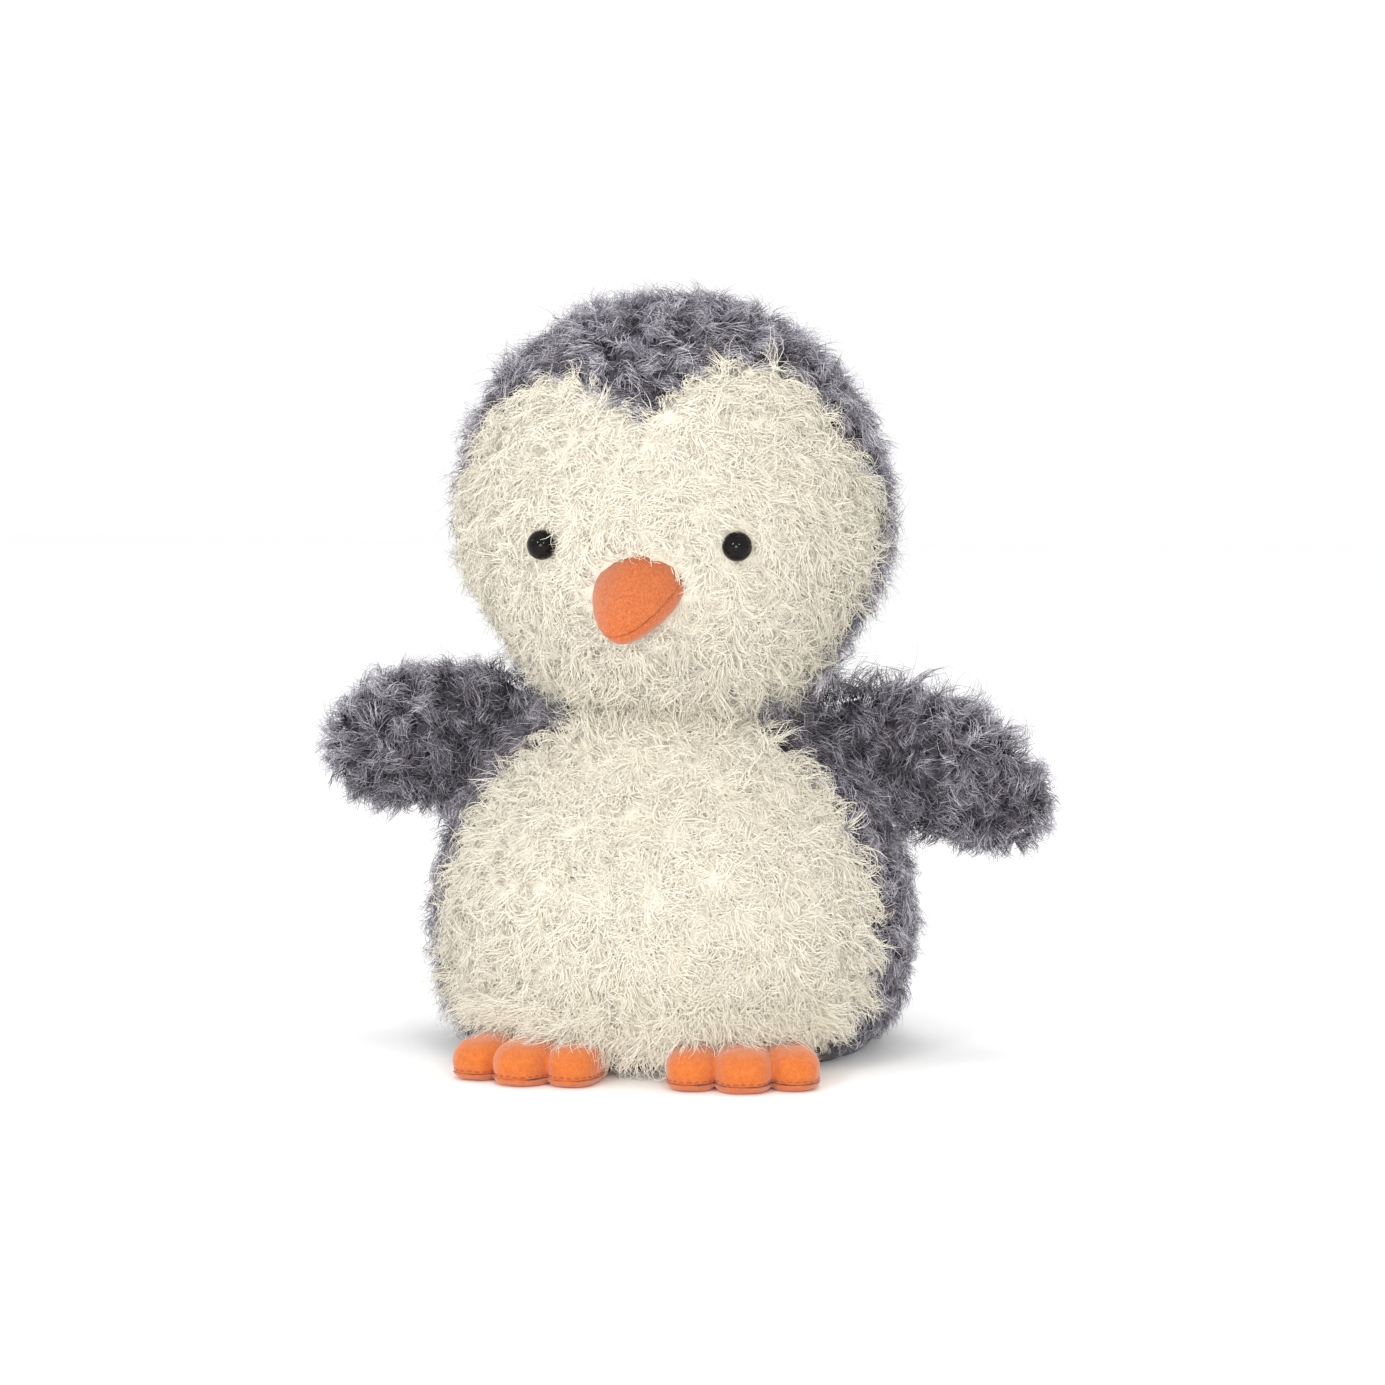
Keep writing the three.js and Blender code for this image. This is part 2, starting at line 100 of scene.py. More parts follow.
def cloth(name, dark, light, scale, bump, rough=(0.8, 0.95), detail=6.0, sheen=0.2, fine=None, spec=0.25, grain=None):
    """A cloth finish: two mixed scales of colour, roughness that varies with them, and a fine raised nap."""
    m = bpy.data.materials.new(name)
    m.use_nodes = True
    nt = m.node_tree
    b = nt.nodes["Principled BSDF"]
    co = nt.nodes.new("ShaderNodeTexCoord")
    n1 = nt.nodes.new("ShaderNodeTexNoise")
    n1.inputs["Scale"].default_value, n1.inputs["Detail"].default_value = scale, detail
    n1.inputs["Roughness"].default_value = 0.65
    nt.links.new(co.outputs["Object"], n1.inputs["Vector"])
    n2 = nt.nodes.new("ShaderNodeTexNoise")
    n2.inputs["Scale"].default_value, n2.inputs["Detail"].default_value = fine or scale * 6, 3.0
    nt.links.new(co.outputs["Object"], n2.inputs["Vector"])
    mixf = nt.nodes.new("ShaderNodeMath")
    mixf.operation = "MULTIPLY_ADD"
    mixf.inputs[1].default_value = 0.55
    nt.links.new(n2.outputs["Fac"], mixf.inputs[0])
    half = nt.nodes.new("ShaderNodeMath")
    half.operation = "MULTIPLY"
    half.inputs[1].default_value = 0.45
    nt.links.new(n1.outputs["Fac"], half.inputs[0])
    nt.links.new(half.outputs[0], mixf.inputs[2])
    ramp = nt.nodes.new("ShaderNodeValToRGB")
    ramp.color_ramp.elements[0].position, ramp.color_ramp.elements[1].position = grain or (0.36, 0.62)
    ramp.color_ramp.elements[0].color, ramp.color_ramp.elements[1].color = lin(*dark), lin(*light)
    nt.links.new(mixf.outputs[0], ramp.inputs["Fac"])
    nt.links.new(ramp.outputs["Color"], b.inputs["Base Color"])
    rr = nt.nodes.new("ShaderNodeMapRange")
    rr.inputs["To Min"].default_value, rr.inputs["To Max"].default_value = rough
    nt.links.new(n2.outputs["Fac"], rr.inputs["Value"])
    nt.links.new(rr.outputs["Result"], b.inputs["Roughness"])
    bp = nt.nodes.new("ShaderNodeBump")
    bp.inputs["Strength"].default_value, bp.inputs["Distance"].default_value = bump
    nt.links.new(mixf.outputs[0], bp.inputs["Height"])
    nt.links.new(bp.outputs["Normal"], b.inputs["Normal"])
    b.inputs["Sheen Weight"].default_value = sheen
    b.inputs["Sheen Roughness"].default_value = 0.5
    b.inputs["Specular IOR Level"].default_value = spec
    return m


# pile grounds: darker than most fibres above them, painted shade of the deep pile between the fibres
CREAM_GROUND_PAINTED_SHADE = cloth("cream_pile_ground_painted_shade", (240, 231, 213), (247, 240, 225), 900, (0.6, 0.0006))
GREY_GROUND_PAINTED_SHADE = cloth("grey_pile_ground_painted_shade", (50, 47, 53), (86, 82, 90), 900, (0.6, 0.0006))
SUEDE = cloth("orange_suede", (177, 84, 30), (210, 117, 50), 700, (0.35, 0.00025), fine=3200, sheen=0.35, grain=(0.3, 0.66))
BEAK_SUEDE = cloth("beak_suede", (160, 76, 34), (202, 112, 60), 1400, (0.5, 0.0003), fine=3600, sheen=0.3, grain=(0.36, 0.6))
THREAD = cloth("orange_thread", (158, 70, 28), (188, 92, 44), 2500, (0.4, 0.0001), sheen=0.1)
FILLING = cloth("white_fibre_filling", (225, 225, 220), (250, 250, 248), 500, (0.7, 0.0008))
POUCH = cloth("pouch_calico", (196, 188, 168), (222, 215, 198), 1500, (0.5, 0.0003))
WASHER = cloth("washer_plastic", (214, 214, 208), (232, 232, 226), 250, (0.1, 0.0001), rough=(0.45, 0.6), sheen=0.0)

EYE = bpy.data.materials.new("eye_gloss_black")
EYE.use_nodes = True
_nt = EYE.node_tree
_b = _nt.nodes["Principled BSDF"]
_co = _nt.nodes.new("ShaderNodeTexCoord")
_no = _nt.nodes.new("ShaderNodeTexNoise")
_no.inputs["Scale"].default_value = 260
_nt.links.new(_co.outputs["Object"], _no.inputs["Vector"])
_ra = _nt.nodes.new("ShaderNodeValToRGB")
_ra.color_ramp.elements[0].color, _ra.color_ramp.elements[1].color = (0.002, 0.0018, 0.0018, 1), (0.006, 0.004, 0.0035, 1)
_nt.links.new(_no.outputs["Fac"], _ra.inputs["Fac"])
_nt.links.new(_ra.outputs["Color"], _b.inputs["Base Color"])
_b.inputs["Roughness"].default_value = 0.06
_b.inputs["Specular IOR Level"].default_value = 0.18

# fibre tints: families of (root, middle, tip); the change from root to tip is painted shade and painted light
# grey fibres are darkest at the root, painted shade deep in the pile, and palest at the tip, painted highlight
GREY_FIBRE_PAINTED_SHADE_AND_HIGHLIGHT = [
    [plain("grey_fibre_%d_%d" % (f, k), c, rough=0.5) for k, c in enumerate(cols)]
    for f, cols in enumerate([
        [(54, 51, 57), (121, 117, 126), (180, 176, 186)],
        [(42, 39, 44), (90, 85, 92), (142, 137, 145)],
        [(76, 73, 81), (158, 155, 165), (222, 219, 227)],
    ])
]
# cream fibres are paler at the root than at the tip: painted light that cancels the shade deep in the pile
CREAM_FIBRE_PAINTED_LIGHT = [
    [plain("cream_fibre_%d_%d" % (f, k), c, rough=0.75, spec=0.2) for k, c in enumerate(cols)]
    for f, cols in enumerate([
        [(251, 245, 231), (244, 237, 219), (236, 229, 211)],
        [(250, 244, 229), (243, 236, 217), (234, 227, 208)],
        [(252, 246, 234), (246, 239, 223), (239, 232, 216)],
    ])
]


# ------------------------------------------------------------------ mesh helpers
def put(name, me, mats):
    o = bpy.data.objects.new(name, me)
    scene.collection.objects.link(o)
    for m in mats:
        me.materials.append(m)
    return o


def baked(o, smooth=True):
    """Applies the modifiers into the object's own mesh."""
    deps = bpy.context.evaluated_depsgraph_get()
    deps.update()
    me = bpy.data.meshes.new_from_object(o.evaluated_get(deps))
    old = o.data
    o.modifiers.clear()
    o.data = me
    bpy.data.meshes.remove(old)
    me.shade_smooth() if smooth else None
    return o


def coords(me):
    a = np.empty(len(me.vertices) * 3, np.float32)
    me.vertices.foreach_get("co", a)
    return a.reshape(-1, 3).astype(float)


def set_coords(me, a):
    me.vertices.foreach_set("co", np.asarray(a, np.float32).ravel())
    me.update()


def largest_only(me):
    """Keeps the biggest connected shell of a mesh."""
    bm = bmesh.new()
    bm.from_mesh(me)
    bm.verts.ensure_lookup_table()
    seen, groups = set(), []
    for v in bm.verts:
        if v.index in seen:
            continue
        stack, group = [v], []
        seen.add(v.index)
        while stack:
            w = stack.pop()
            group.append(w)
            for e in w.link_edges:
                u = e.other_vert(w)
                if u.index not in seen:
                    seen.add(u.index)
                    stack.append(u)
        groups.append(group)
    groups.sort(key=len)
    bmesh.ops.delete(bm, geom=[v for g in groups[:-1] for v in g], context="VERTS")
    bm.to_mesh(me)
    bm.free()


def noise3(p, scale, seed):
    """Smooth repeatable noise from a few sine waves, about -1 to 1."""
    r = np.random.default_rng(seed)
    out = np.zeros(len(p))
    for _ in range(9):
        d = r.normal(size=3)
        d /= np.linalg.norm(d)
        out += np.sin(p @ d / scale * r.uniform(0.7, 1.6) * 6.283 + r.uniform(0, 6.283))
    return out / 4.5


def tint(o, mat, where):
    """Gives the faces of o whose centres pass where a second finish."""
    o.data.materials.append(mat)
    c = np.empty(len(o.data.polygons) * 3, np.float32)
    o.data.polygons.foreach_get("center", c)
    o.data.polygons.foreach_set("material_index", where(c.reshape(-1, 3) / MM).astype(np.int32))
    o.data.update()


def skin(node, name, body, mat, voxel=1.15, relief=0.35, rounds=5, scale=5.0, sink=0.25, other=None):
    """The ground of a sewn pile panel: the CAD panel remeshed finely, softened, and given the uneven swell of packed pile.
    other is a second finish and where it goes, for ground that lies under the neighbouring pile."""
    src = frame["nodes"][node]
    me = src.data.copy()
    me.materials.clear()
    o = put(name, me, [mat])
    w = o.modifiers.new("weld", "WELD")
    w.merge_threshold = 0.00001
    m = o.modifiers.new("remesh", "REMESH")
    m.mode, m.voxel_size = "VOXEL", voxel * MM
    s = o.modifiers.new("smooth", "SMOOTH")
    s.factor, s.iterations = 0.5, rounds
    baked(o)
    p = coords(o.data) / MM
    n = np.empty(len(p) * 3, np.float32)
    o.data.vertices.foreach_get("normal", n)
    n = n.reshape(-1, 3)
    p = p + n * (noise3(p, scale, 5) * relief * 0.6 + noise3(p, scale * 0.4, 6) * relief * 0.4 - sink)[:, None]
    p[:, 2] = np.maximum(p[:, 2], 0.0)
    if node.startswith(("face", "hood", "back")):
        q = unturned(p) if body == "head" else p.copy()
        side = 1.0 if "left" in node else -1.0
        x = q[:, 0] * side
        q[:, 0] = np.where(x < 3.0, np.maximum(x - 0.95 * (1 - np.clip(x, 0, 3) / 3.0), -0.15), x) * side
        p = turned(q) if body == "head" else q
    if "_wing_" in node:
        side = -1.0 if "front" in node else 1.0
        y = p[:, 1] * side
        p[:, 1] = np.where(y < 2.4, np.maximum(y - 1.0 * (1 - np.clip(y, 0, 2.4) / 2.4), -0.15), y) * side
    set_coords(o.data, p * MM)
    if other is not None:
        tint(o, *other)
    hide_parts(node)
    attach(o, body)
    return o


# ------------------------------------------------------------------ the toy's surfaces, in mm
TORSO_PROFILE = np.array([[47.5, 1.2], [49.8, 4.0], [51.6, 8.5], [53.3, 15], [54.6, 23], [54.9, 31], [54.3, 38.5],
                          [52.6, 46.5], [49.6, 54], [46.0, 60], [41.6, 66], [36.6, 71.5], [31.2, 76], [26.0, 78.8]])
HEAD_R, HEAD_Z, HEAD_TURN = np.array([49.0, 45.5, 49.5]), 125.8, math.radians(-1.0)
BELLY = np.array([[40.5, 2.5], [45.5, 8], [48.6, 18], [50.2, 29], [49.6, 38], [46.8, 47], [42.6, 56], [37.2, 64], [31.6, 71],
                  [26.5, 76], [22.0, 81], [20, 90]])
FACE = np.array([[0, 23.2], [4.5, 26.4], [9.5, 30.4], [14.5, 33.6], [20.5, 35.2], [26.0, 34.2], [31.5, 30.8], [36.0, 26.4],
                 [40.2, 19.6], [44.2, 12.0], [50, 4], [70, -4]])
LEFT_ROOT, RIGHT_ROOT = [[33.6, 80.6], [53.4, 54.2]], [[-33.6, 80.6], [-53.4, 54.2]]
LEFT_WING = [[34.2, 81.2], [42, 83.4], [54, 83.6], [65, 80.4], [75, 74.6], [83, 66.6], [87.3, 58.6], [85.6, 52.4], [78, 49.8],
             [68, 50.2], [59, 52.0], [54.4, 54.2]]
RIGHT_WING = [[-34.2, 81.2], [-38, 85.6], [-47, 87.4], [-58, 87.2], [-69, 85.6], [-77.5, 80.8], [-82.2, 74.2], [-82.6, 67],
              [-79, 61], [-71, 58.2], [-62, 57.0], [-54.6, 55.6]]


def smooth(t):
    t = np.clip(t, 0, 1)
    return t * t * (3 - 2 * t)


def turned(p):
    """From the head's own axes to the row's."""
    c, s = math.cos(HEAD_TURN), math.sin(HEAD_TURN)
    q = np.array(p, float)
    x, y = q[..., 0].copy(), q[..., 1].copy()
    q[..., 0], q[..., 1] = x * c - y * s, x * s + y * c
    return q


def unturned(p):
    c, s = math.cos(HEAD_TURN), -math.sin(HEAD_TURN)
    q = np.array(p, float)
    x, y = q[..., 0].copy(), q[..., 1].copy()
    q[..., 0], q[..., 1] = x * c - y * s, x * s + y * c
    return q


def head_grid():
    u, v = np.meshgrid(np.linspace(0, 2 * math.pi, 181), np.linspace(-math.pi / 2, math.pi / 2, 121), indexing="ij")
    s = np.stack([np.cos(v) * np.cos(u), np.cos(v) * np.sin(u), np.sin(v)], -1)
    taper = 1 - 0.055 * smooth(-s[..., 2] * 1.5)
    p = s * HEAD_R
    p[..., :2] *= taper[..., None]
    p[..., 2] += HEAD_Z
    return turned(p), np.array([0, 0, HEAD_Z])


def torso_grid():
    u, z = np.meshgrid(np.linspace(0, 2 * math.pi, 181), np.linspace(3.9, 78.8, 91), indexing="ij")
    r = np.interp(z, TORSO_PROFILE[:, 1], TORSO_PROFILE[:, 0])
    depth = 0.88 + 0.07 * smooth((z - 62) / 16)
    return np.stack([r * np.cos(u), r * depth * np.sin(u), z], -1), np.array([0, 0, 36.0])


def neck_grid():
    u, z = np.meshgrid(np.linspace(0, 2 * math.pi, 121), np.linspace(77.0, 88.0, 13), indexing="ij")
    r = 24.6 + 0.8 * np.abs((z - 82.5) / 5.5) ** 2
    return np.stack([r * np.cos(u), r * 0.95 * np.sin(u), z], -1), np.array([0, 0, 82.5])


def catmull(pts, n):
    """A centripetal Catmull-Rom loop through the points, sampled evenly."""
    pts = np.array(pts, float)
    k, out = len(pts), []
    for i in range(k):
        p0, p1, p2, p3 = pts[i - 1], pts[i], pts[(i + 1) % k], pts[(i + 2) % k]
        t0 = 0.0
        t1 = t0 + np.linalg.norm(p1 - p0) ** 0.5
        t2 = t1 + np.linalg.norm(p2 - p1) ** 0.5
        t3 = t2 + np.linalg.norm(p3 - p2) ** 0.5
        for t in np.linspace(t1, t2, 20, endpoint=False):
            a1 = (t1 - t) / (t1 - t0) * p0 + (t - t0) / (t1 - t0) * p1
            a2 = (t2 - t) / (t2 - t1) * p1 + (t - t1) / (t2 - t1) * p2
            a3 = (t3 - t) / (t3 - t2) * p2 + (t - t2) / (t3 - t2) * p3
            b1 = (t2 - t) / (t2 - t0) * a1 + (t - t0) / (t2 - t0) * a2
            b2 = (t3 - t) / (t3 - t1) * a2 + (t - t1) / (t3 - t1) * a3
            out.append((t2 - t) / (t2 - t1) * b1 + (t - t1) / (t2 - t1) * b2)
    out = np.array(out)
    return out


def wing_grid(outline, root):
    loop = catmull(outline, 160)
    mid = (loop.min(0) + loop.max(0)) / 2
    ang = np.arctan2(loop[:, 1] - mid[1], loop[:, 0] - mid[0])
    dist = np.hypot(*(loop - mid).T)
    order = np.argsort(ang)
    ang, dist = ang[order], dist[order]
    u, v = np.meshgrid(np.linspace(-math.pi, math.pi, 121), np.linspace(-math.pi / 2, math.pi / 2, 61), indexing="ij")
    far = np.interp(u, np.r_[ang - 2 * math.pi, ang, ang + 2 * math.pi], np.tile(dist, 3))
    rr = np.cos(v) ** 0.86
    x, z = mid[0] + np.cos(u) * far * rr, mid[1] + np.sin(u) * far * rr
    (ax, az), (bx, bz) = root
    s = np.abs((x - ax) * (bz - az) - (z - az) * (bx - ax)) / math.hypot(bx - ax, bz - az)
    y = np.sign(np.sin(v)) * np.abs(np.sin(v)) ** 0.86 * 7.25 * (0.34 + 0.66 * smooth(s / 20))
    return np.stack([x, y, z], -1), np.array([mid[0], 0, mid[1]])


class Surface:
    """A dense grid of points with outward normals that fibres are rooted on."""

    def __init__(self, grid_and_mid):
        p, mid = grid_and_mid
        self.p = p
        du, dv = np.gradient(p, axis=0), np.gradient(p, axis=1)
        n = np.cross(du, dv)
        n /= np.maximum(np.linalg.norm(n, axis=-1, keepdims=True), 1e-9)
        flip = np.sign(np.sum(n * (p - mid), -1).sum())
        self.n = n * flip
        a = np.linalg.norm(np.cross(p[1:, :-1] - p[:-1, :-1], p[:-1, 1:] - p[:-1, :-1]), axis=-1)
        self.area, self.cum = a.sum(), np.cumsum(a.ravel())
        self.shape = a.shape

    def sample(self, count, rng):
        k = np.minimum(np.searchsorted(self.cum, rng.random(count) * self.cum[-1]), len(self.cum) - 1)
        i, j = np.unravel_index(k, self.shape)
        s, t = rng.random(count)[:, None], rng.random(count)[:, None]

        def mix(a):
            return (a[i, j] * (1 - s) + a[i + 1, j] * s) * (1 - t) + (a[i, j + 1] * (1 - s) + a[i + 1, j + 1] * s) * t

        n = mix(self.n)
        return mix(self.p), n / np.maximum(np.linalg.norm(n, axis=1, keepdims=True), 1e-9)


def spread(p, n, gap):
    """Thins random points so that no two are nearer than gap."""
    cells, keep = {}, []
    key = np.floor(p / gap).astype(int)
    for i in range(len(p)):
        k = tuple(key[i])
        ok = True
        for dx in (-1, 0, 1):
            for dy in (-1, 0, 1):
                for dz in (-1, 0, 1):
                    for j in cells.get((k[0] + dx, k[1] + dy, k[2] + dz), ()):
                        d = p[i] - p[j]
                        if d[0] * d[0] + d[1] * d[1] + d[2] * d[2] < gap * gap:
                            ok = False
                            break
                    if not ok:
                        break
                if not ok:
                    break
            if not ok:
                break
        if ok:
            cells.setdefault(k, []).append(i)
            keep.append(i)
    return p[keep], n[keep]


# ------------------------------------------------------------------ pile
STEPS = 5  # stretches along one fibre


def unit(a):
    return a / np.maximum(np.linalg.norm(a, axis=-1, keepdims=True), 1e-9)


def fibres(p, n, flow, length, rng, width=0.08, curl=1.0, stray=0.10, spread_mm=1.6, per=16, loose=1.0, clumping=(0.35, 0.85), rise=(8, 40), stiff=None):
    """The points, radius and lock number of every fibre, for locks rooted at p: each lock stands up, leans over and hooks
    round at its tip, and its own fibres follow it closely, apart from the stray ones."""
    locks = len(p)
    t1 = flow - np.sum(flow * n, 1, keepdims=True) * n
    weak = np.linalg.norm(t1, axis=1) < 1e-3
    t1[weak] = np.cross(n[weak], [0.0, 1.0, 0.0])
    strength = np.clip(np.linalg.norm(t1, axis=1), 0.15, 1.0)
    t1 = unit(t1)
    t2 = np.cross(n, t1)
    phi = rng.normal(0, 1.0, locks) * (1.5 - 0.75 * strength)
    start = np.radians(rng.uniform(*rise, locks))
    bend = np.radians(rng.uniform(65, 150, locks)) * curl
    if stiff is not None:
        start, bend = start * (1 - 0.6 * stiff), bend * (1 - 0.6 * stiff)
    twist = rng.normal(0, 1.3, locks) * curl
    back_ = rng.normal(0, 0.9, locks) * curl
    long_ = length * rng.uniform(0.74, 1.14, locks)
    k = np.repeat(np.arange(locks), per)
    m = len(k)
    is_stray = rng.random(m) < stray
    rad = spread_mm * np.sqrt(rng.random(m)) * np.where(is_stray, 1.25, 1.0)
    a = rng.random(m) * 2 * math.pi
    off = (np.cos(a) * rad)[:, None] * t1[k] + (np.sin(a) * rad)[:, None] * t2[k]
    clump = np.where(is_stray, 0.0, rng.uniform(*clumping, m))
    j = loose
    ph = phi[k] + rng.normal(0, 0.20, m) * j + np.where(is_stray, rng.normal(0, 1.3, m), 0)
    st = start[k] + rng.normal(0, 0.12, m) * j
    be = bend[k] * rng.normal(1, 0.13, m) * np.where(is_stray, 0.7, 1)
    tw = twist[k] + rng.normal(0, 0.25, m) * j
    bk = back_[k] + rng.normal(0, 0.3, m) * j
    le = long_[k] * rng.uniform(0.70, 1.05, m) * np.where(is_stray, 1.15, 1.0)
    under = rng.random(m) < 0.22
    le = np.where(under, le * 0.55, le)
    clump = np.where(under, -0.25, clump)
    pts = np.empty((m, STEPS + 1, 3))
    root = p[k] + off - n[k] * 0.5
    walk = np.zeros((m, 3))
    pts[:, 0] = root
    for s in range(STEPS):
        t = (s + 0.5) / STEPS
        th = st + be * t ** 1.2
        an = ph + tw * t + bk * math.sin(t * math.pi * 1.6)
        d = (np.cos(th)[:, None] * n[k] + np.sin(th)[:, None] * (np.cos(an)[:, None] * t1[k] + np.sin(an)[:, None] * t2[k]))
        walk = walk + d * (le / STEPS)[:, None]
        tt = (s + 1) / STEPS
        pts[:, s + 1] = root + walk - off * (clump * tt ** 0.8)[:, None]
    wid = width * rng.uniform(0.75, 1.2, m) * np.where(is_stray, 0.72, 1.0)
    return pts, wid, k


def pile_mesh(name, pts, wid, family, mats, rng, floor=0.35, around=None, soft=0.0):
    """Closed three-sided tapering fibres as one mesh, tinted by family and by height along the fibre, the steps from
    root to tip being painted shade and painted light. soft turns their shading towards the direction the cloth faces
    (around), as a thick pale pile scatters light."""
    m = len(pts)
    pts = pts.copy()
    pts[:, 1:, 2] = np.maximum(pts[:, 1:, 2], floor)
    d = np.empty_like(pts)
    d[:, 1:-1] = pts[:, 2:] - pts[:, :-2]
    d[:, 0] = pts[:, 1] - pts[:, 0]
    d[:, -1] = pts[:, -1] - pts[:, -2]
    d = unit(d)
    ref = unit(rng.normal(size=(m, 3)))
    u = ref[:, None, :] - np.sum(ref[:, None, :] * d, -1, keepdims=True) * d
    u = unit(u)
    v = np.cross(d, u)
    rings = STEPS
    taper = np.array([1.0, 1.0, 0.92, 0.76, 0.5])[:rings]
    verts = np.empty((m, rings * 3 + 1, 3), np.float32)
    for c in range(3):
        a = 2 * math.pi * c / 3
        verts[:, c:rings * 3:3] = pts[:, :rings] + (math.cos(a) * u[:, :rings] + math.sin(a) * v[:, :rings]) * (wid[:, None] * taper[None])[..., None]
    verts[:, -1] = pts[:, -1]
    per = rings * 3 + 1
    quads = []
    for r in range(rings - 1):
        for c in range(3):
            d2 = (c + 1) % 3
            quads.append([r * 3 + c, r * 3 + d2, r * 3 + 3 + d2, r * 3 + 3 + c])
    tris = [[(rings - 1) * 3 + c, (rings - 1) * 3 + (c + 1) % 3, per - 1] for c in range(3)] + [[2, 1, 0]]
    quads, tris = np.array(quads), np.array(tris)
    base = (np.arange(m) * per)[:, None, None]
    q = (quads[None] + base).reshape(-1)
    t = (tris[None] + base).reshape(-1)
    nq, ntri = m * len(quads), m * len(tris)
    me = bpy.data.meshes.new(name)
    me.vertices.add(m * per)
    me.vertices.foreach_set("co", (verts.reshape(-1) * MM).astype(np.float32))
    me.loops.add(nq * 4 + ntri * 3)
    me.loops.foreach_set("vertex_index", np.concatenate([q, t]).astype(np.int32))
    me.polygons.add(nq + ntri)
    starts = np.concatenate([np.arange(nq) * 4, nq * 4 + np.arange(ntri) * 3]).astype(np.int32)
    me.polygons.foreach_set("loop_start", starts)
    # the step along each fibre picks its tint: painted shade and painted light from root to tip
    shade_and_light_step_q = np.repeat([0, 1, 1, 2], 3)[: len(quads)]
    shade_and_light_step_t = np.array([2, 2, 2, 0])
    mi = np.concatenate([
        (family[:, None] * 3 + shade_and_light_step_q[None]).reshape(-1),
        (family[:, None] * 3 + shade_and_light_step_t[None]).reshape(-1),
    ]).astype(np.int32)
    me.update(calc_edges=True)
    o = put(name, me, [x for f in mats for x in f])
    me.polygons.foreach_set("material_index", mi)
    me.shade_smooth()
    if soft:
        vn = np.empty((m, per, 3), np.float32)
        for c in range(3):
            a = 2 * math.pi * c / 3
            vn[:, c:rings * 3:3] = math.cos(a) * u[:, :rings] + math.sin(a) * v[:, :rings]
        vn[:, -1] = d[:, -1]
        vn = unit(vn * (1 - soft) + around[:, None, :] * soft)
        me.attributes.new("custom_normal", "FLOAT_VECTOR", "POINT").data.foreach_set("vector", vn.reshape(-1).astype(np.float32))
    me.update()
    return o


MOST = 7000  # fibres in one piece
TOTAL = [0]


def pile(name, p, n, flow, length, body, slot, rng, light=None, stiff=None, fix=None, soft=0.0, **kw):
    """One region's pile, cut into pieces of at most MOST fibres by height. light is how pale each lock is, 0 to 1."""
    order = np.argsort(p[:, 2])
    light = np.full(len(p), 0.3) if light is None else light
    stiff = np.zeros(len(p)) if stiff is None else stiff
    p, n, flow, length, light, stiff = p[order], n[order], flow[order], length[order], light[order], stiff[order]
    locks = MOST // kw.get("per", 16)
    parts = max(1, math.ceil(len(p) / locks))
    mats = CREAM_FIBRE_PAINTED_LIGHT if slot == "pile_cream" else GREY_FIBRE_PAINTED_SHADE_AND_HIGHLIGHT
    for i, idx in enumerate(np.array_split(np.arange(len(p)), parts)):
        pts, wid, k = fibres(p[idx], n[idx], flow[idx], length[idx], rng, stiff=stiff[idx], **kw)
        if fix is not None:
            pts = fix(pts)
        roll = rng.random(len(idx))
        lock_family = np.where(roll < light[idx], 2, np.where(roll < light[idx] + (1 - light[idx]) * 0.55, 0, 1))
        fam = np.where(rng.random(len(k)) < 0.72, lock_family[k], rng.choice(3, len(k)))
        o = pile_mesh("%s_%d" % (name, i + 1) if parts > 1 else name, pts, wid, fam, mats, rng, around=n[idx][k], soft=soft)
        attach(o, body)
        TOTAL[0] += len(k)


def flow_of(p, n, down=0.7, out=0.0, mid=None, extra=None):
    f = np.zeros_like(p)
    f[:, 2] -= down
    if out:
        d = p - mid
        d[:, 1] = 0
        f += unit(d) * out
    if extra is not None:
        f += extra
    return f


DENSE = 1.0
rng = np.random.default_rng(11)


def roots(surface, keep, gap):
    p, n = surface.sample(int(surface.area / gap ** 2 * 6), rng)
    ok = keep(p)
    return spread(p[ok], n[ok], gap)


# eyes and beak, in the head's own axes
EYES = []
for side in (1, -1):
    x, z = side * 21.7, -5.2
    y = -HEAD_R[1] * math.sqrt(1 - (x / HEAD_R[0]) ** 2 - (z / HEAD_R[2]) ** 2)
    out = np.array([x / HEAD_R[0] ** 2, y / HEAD_R[1] ** 2, z / HEAD_R[2] ** 2])
    out /= np.linalg.norm(out)
    EYES.append((turned(np.array([x, y, HEAD_Z + z])), turned(out)))
BEAK_Y, BEAK_Z, DROOP = -42.0, 110.4, math.radians(33)
# toes in a foot's own axes: centre x and y, half width, half length, (height), turn
TOES = [(0, -9.2, 7.0, 12.5, 5.5, 0), (-10.7, -7.6, 6.2, 11.5, 5.2, -8), (10.7, -7.6, 6.2, 11.5, 5.2, 8), (0, -1.5, 15.2, 9.5, 5.1, 0)]
TOE_Z, TOE_C = 4.0, 5.1

PALE = dict(per=15, spread_mm=1.40, width=0.105, stray=0.10, loose=1.2, clumping=(0.15, 0.65), soft=0.7)
GREY = dict(per=20, spread_mm=1.75, width=0.078, stray=0.12, curl=1.05)
PALE_GAP, GREY_GAP = 1.80 / math.sqrt(DENSE), 2.20 / math.sqrt(DENSE)

# ---- head
head = Surface(head_grid())


def is_face(p):
    q = unturned(p)
    top = np.interp(np.abs(q[:, 0]), FACE[:, 0], FACE[:, 1]) + HEAD_Z
    top -= 1.0 + 1.6 * smooth((np.abs(q[:, 0]) - 7) / 8) * smooth((44 - np.abs(q[:, 0])) / 8)
    top += 3.2 * smooth((q[:, 0] - 5) / 7)
    return (q[:, 1] < np.where(q[:, 0] > 0, -7.0, -5.5)) & (q[:, 2] < top)


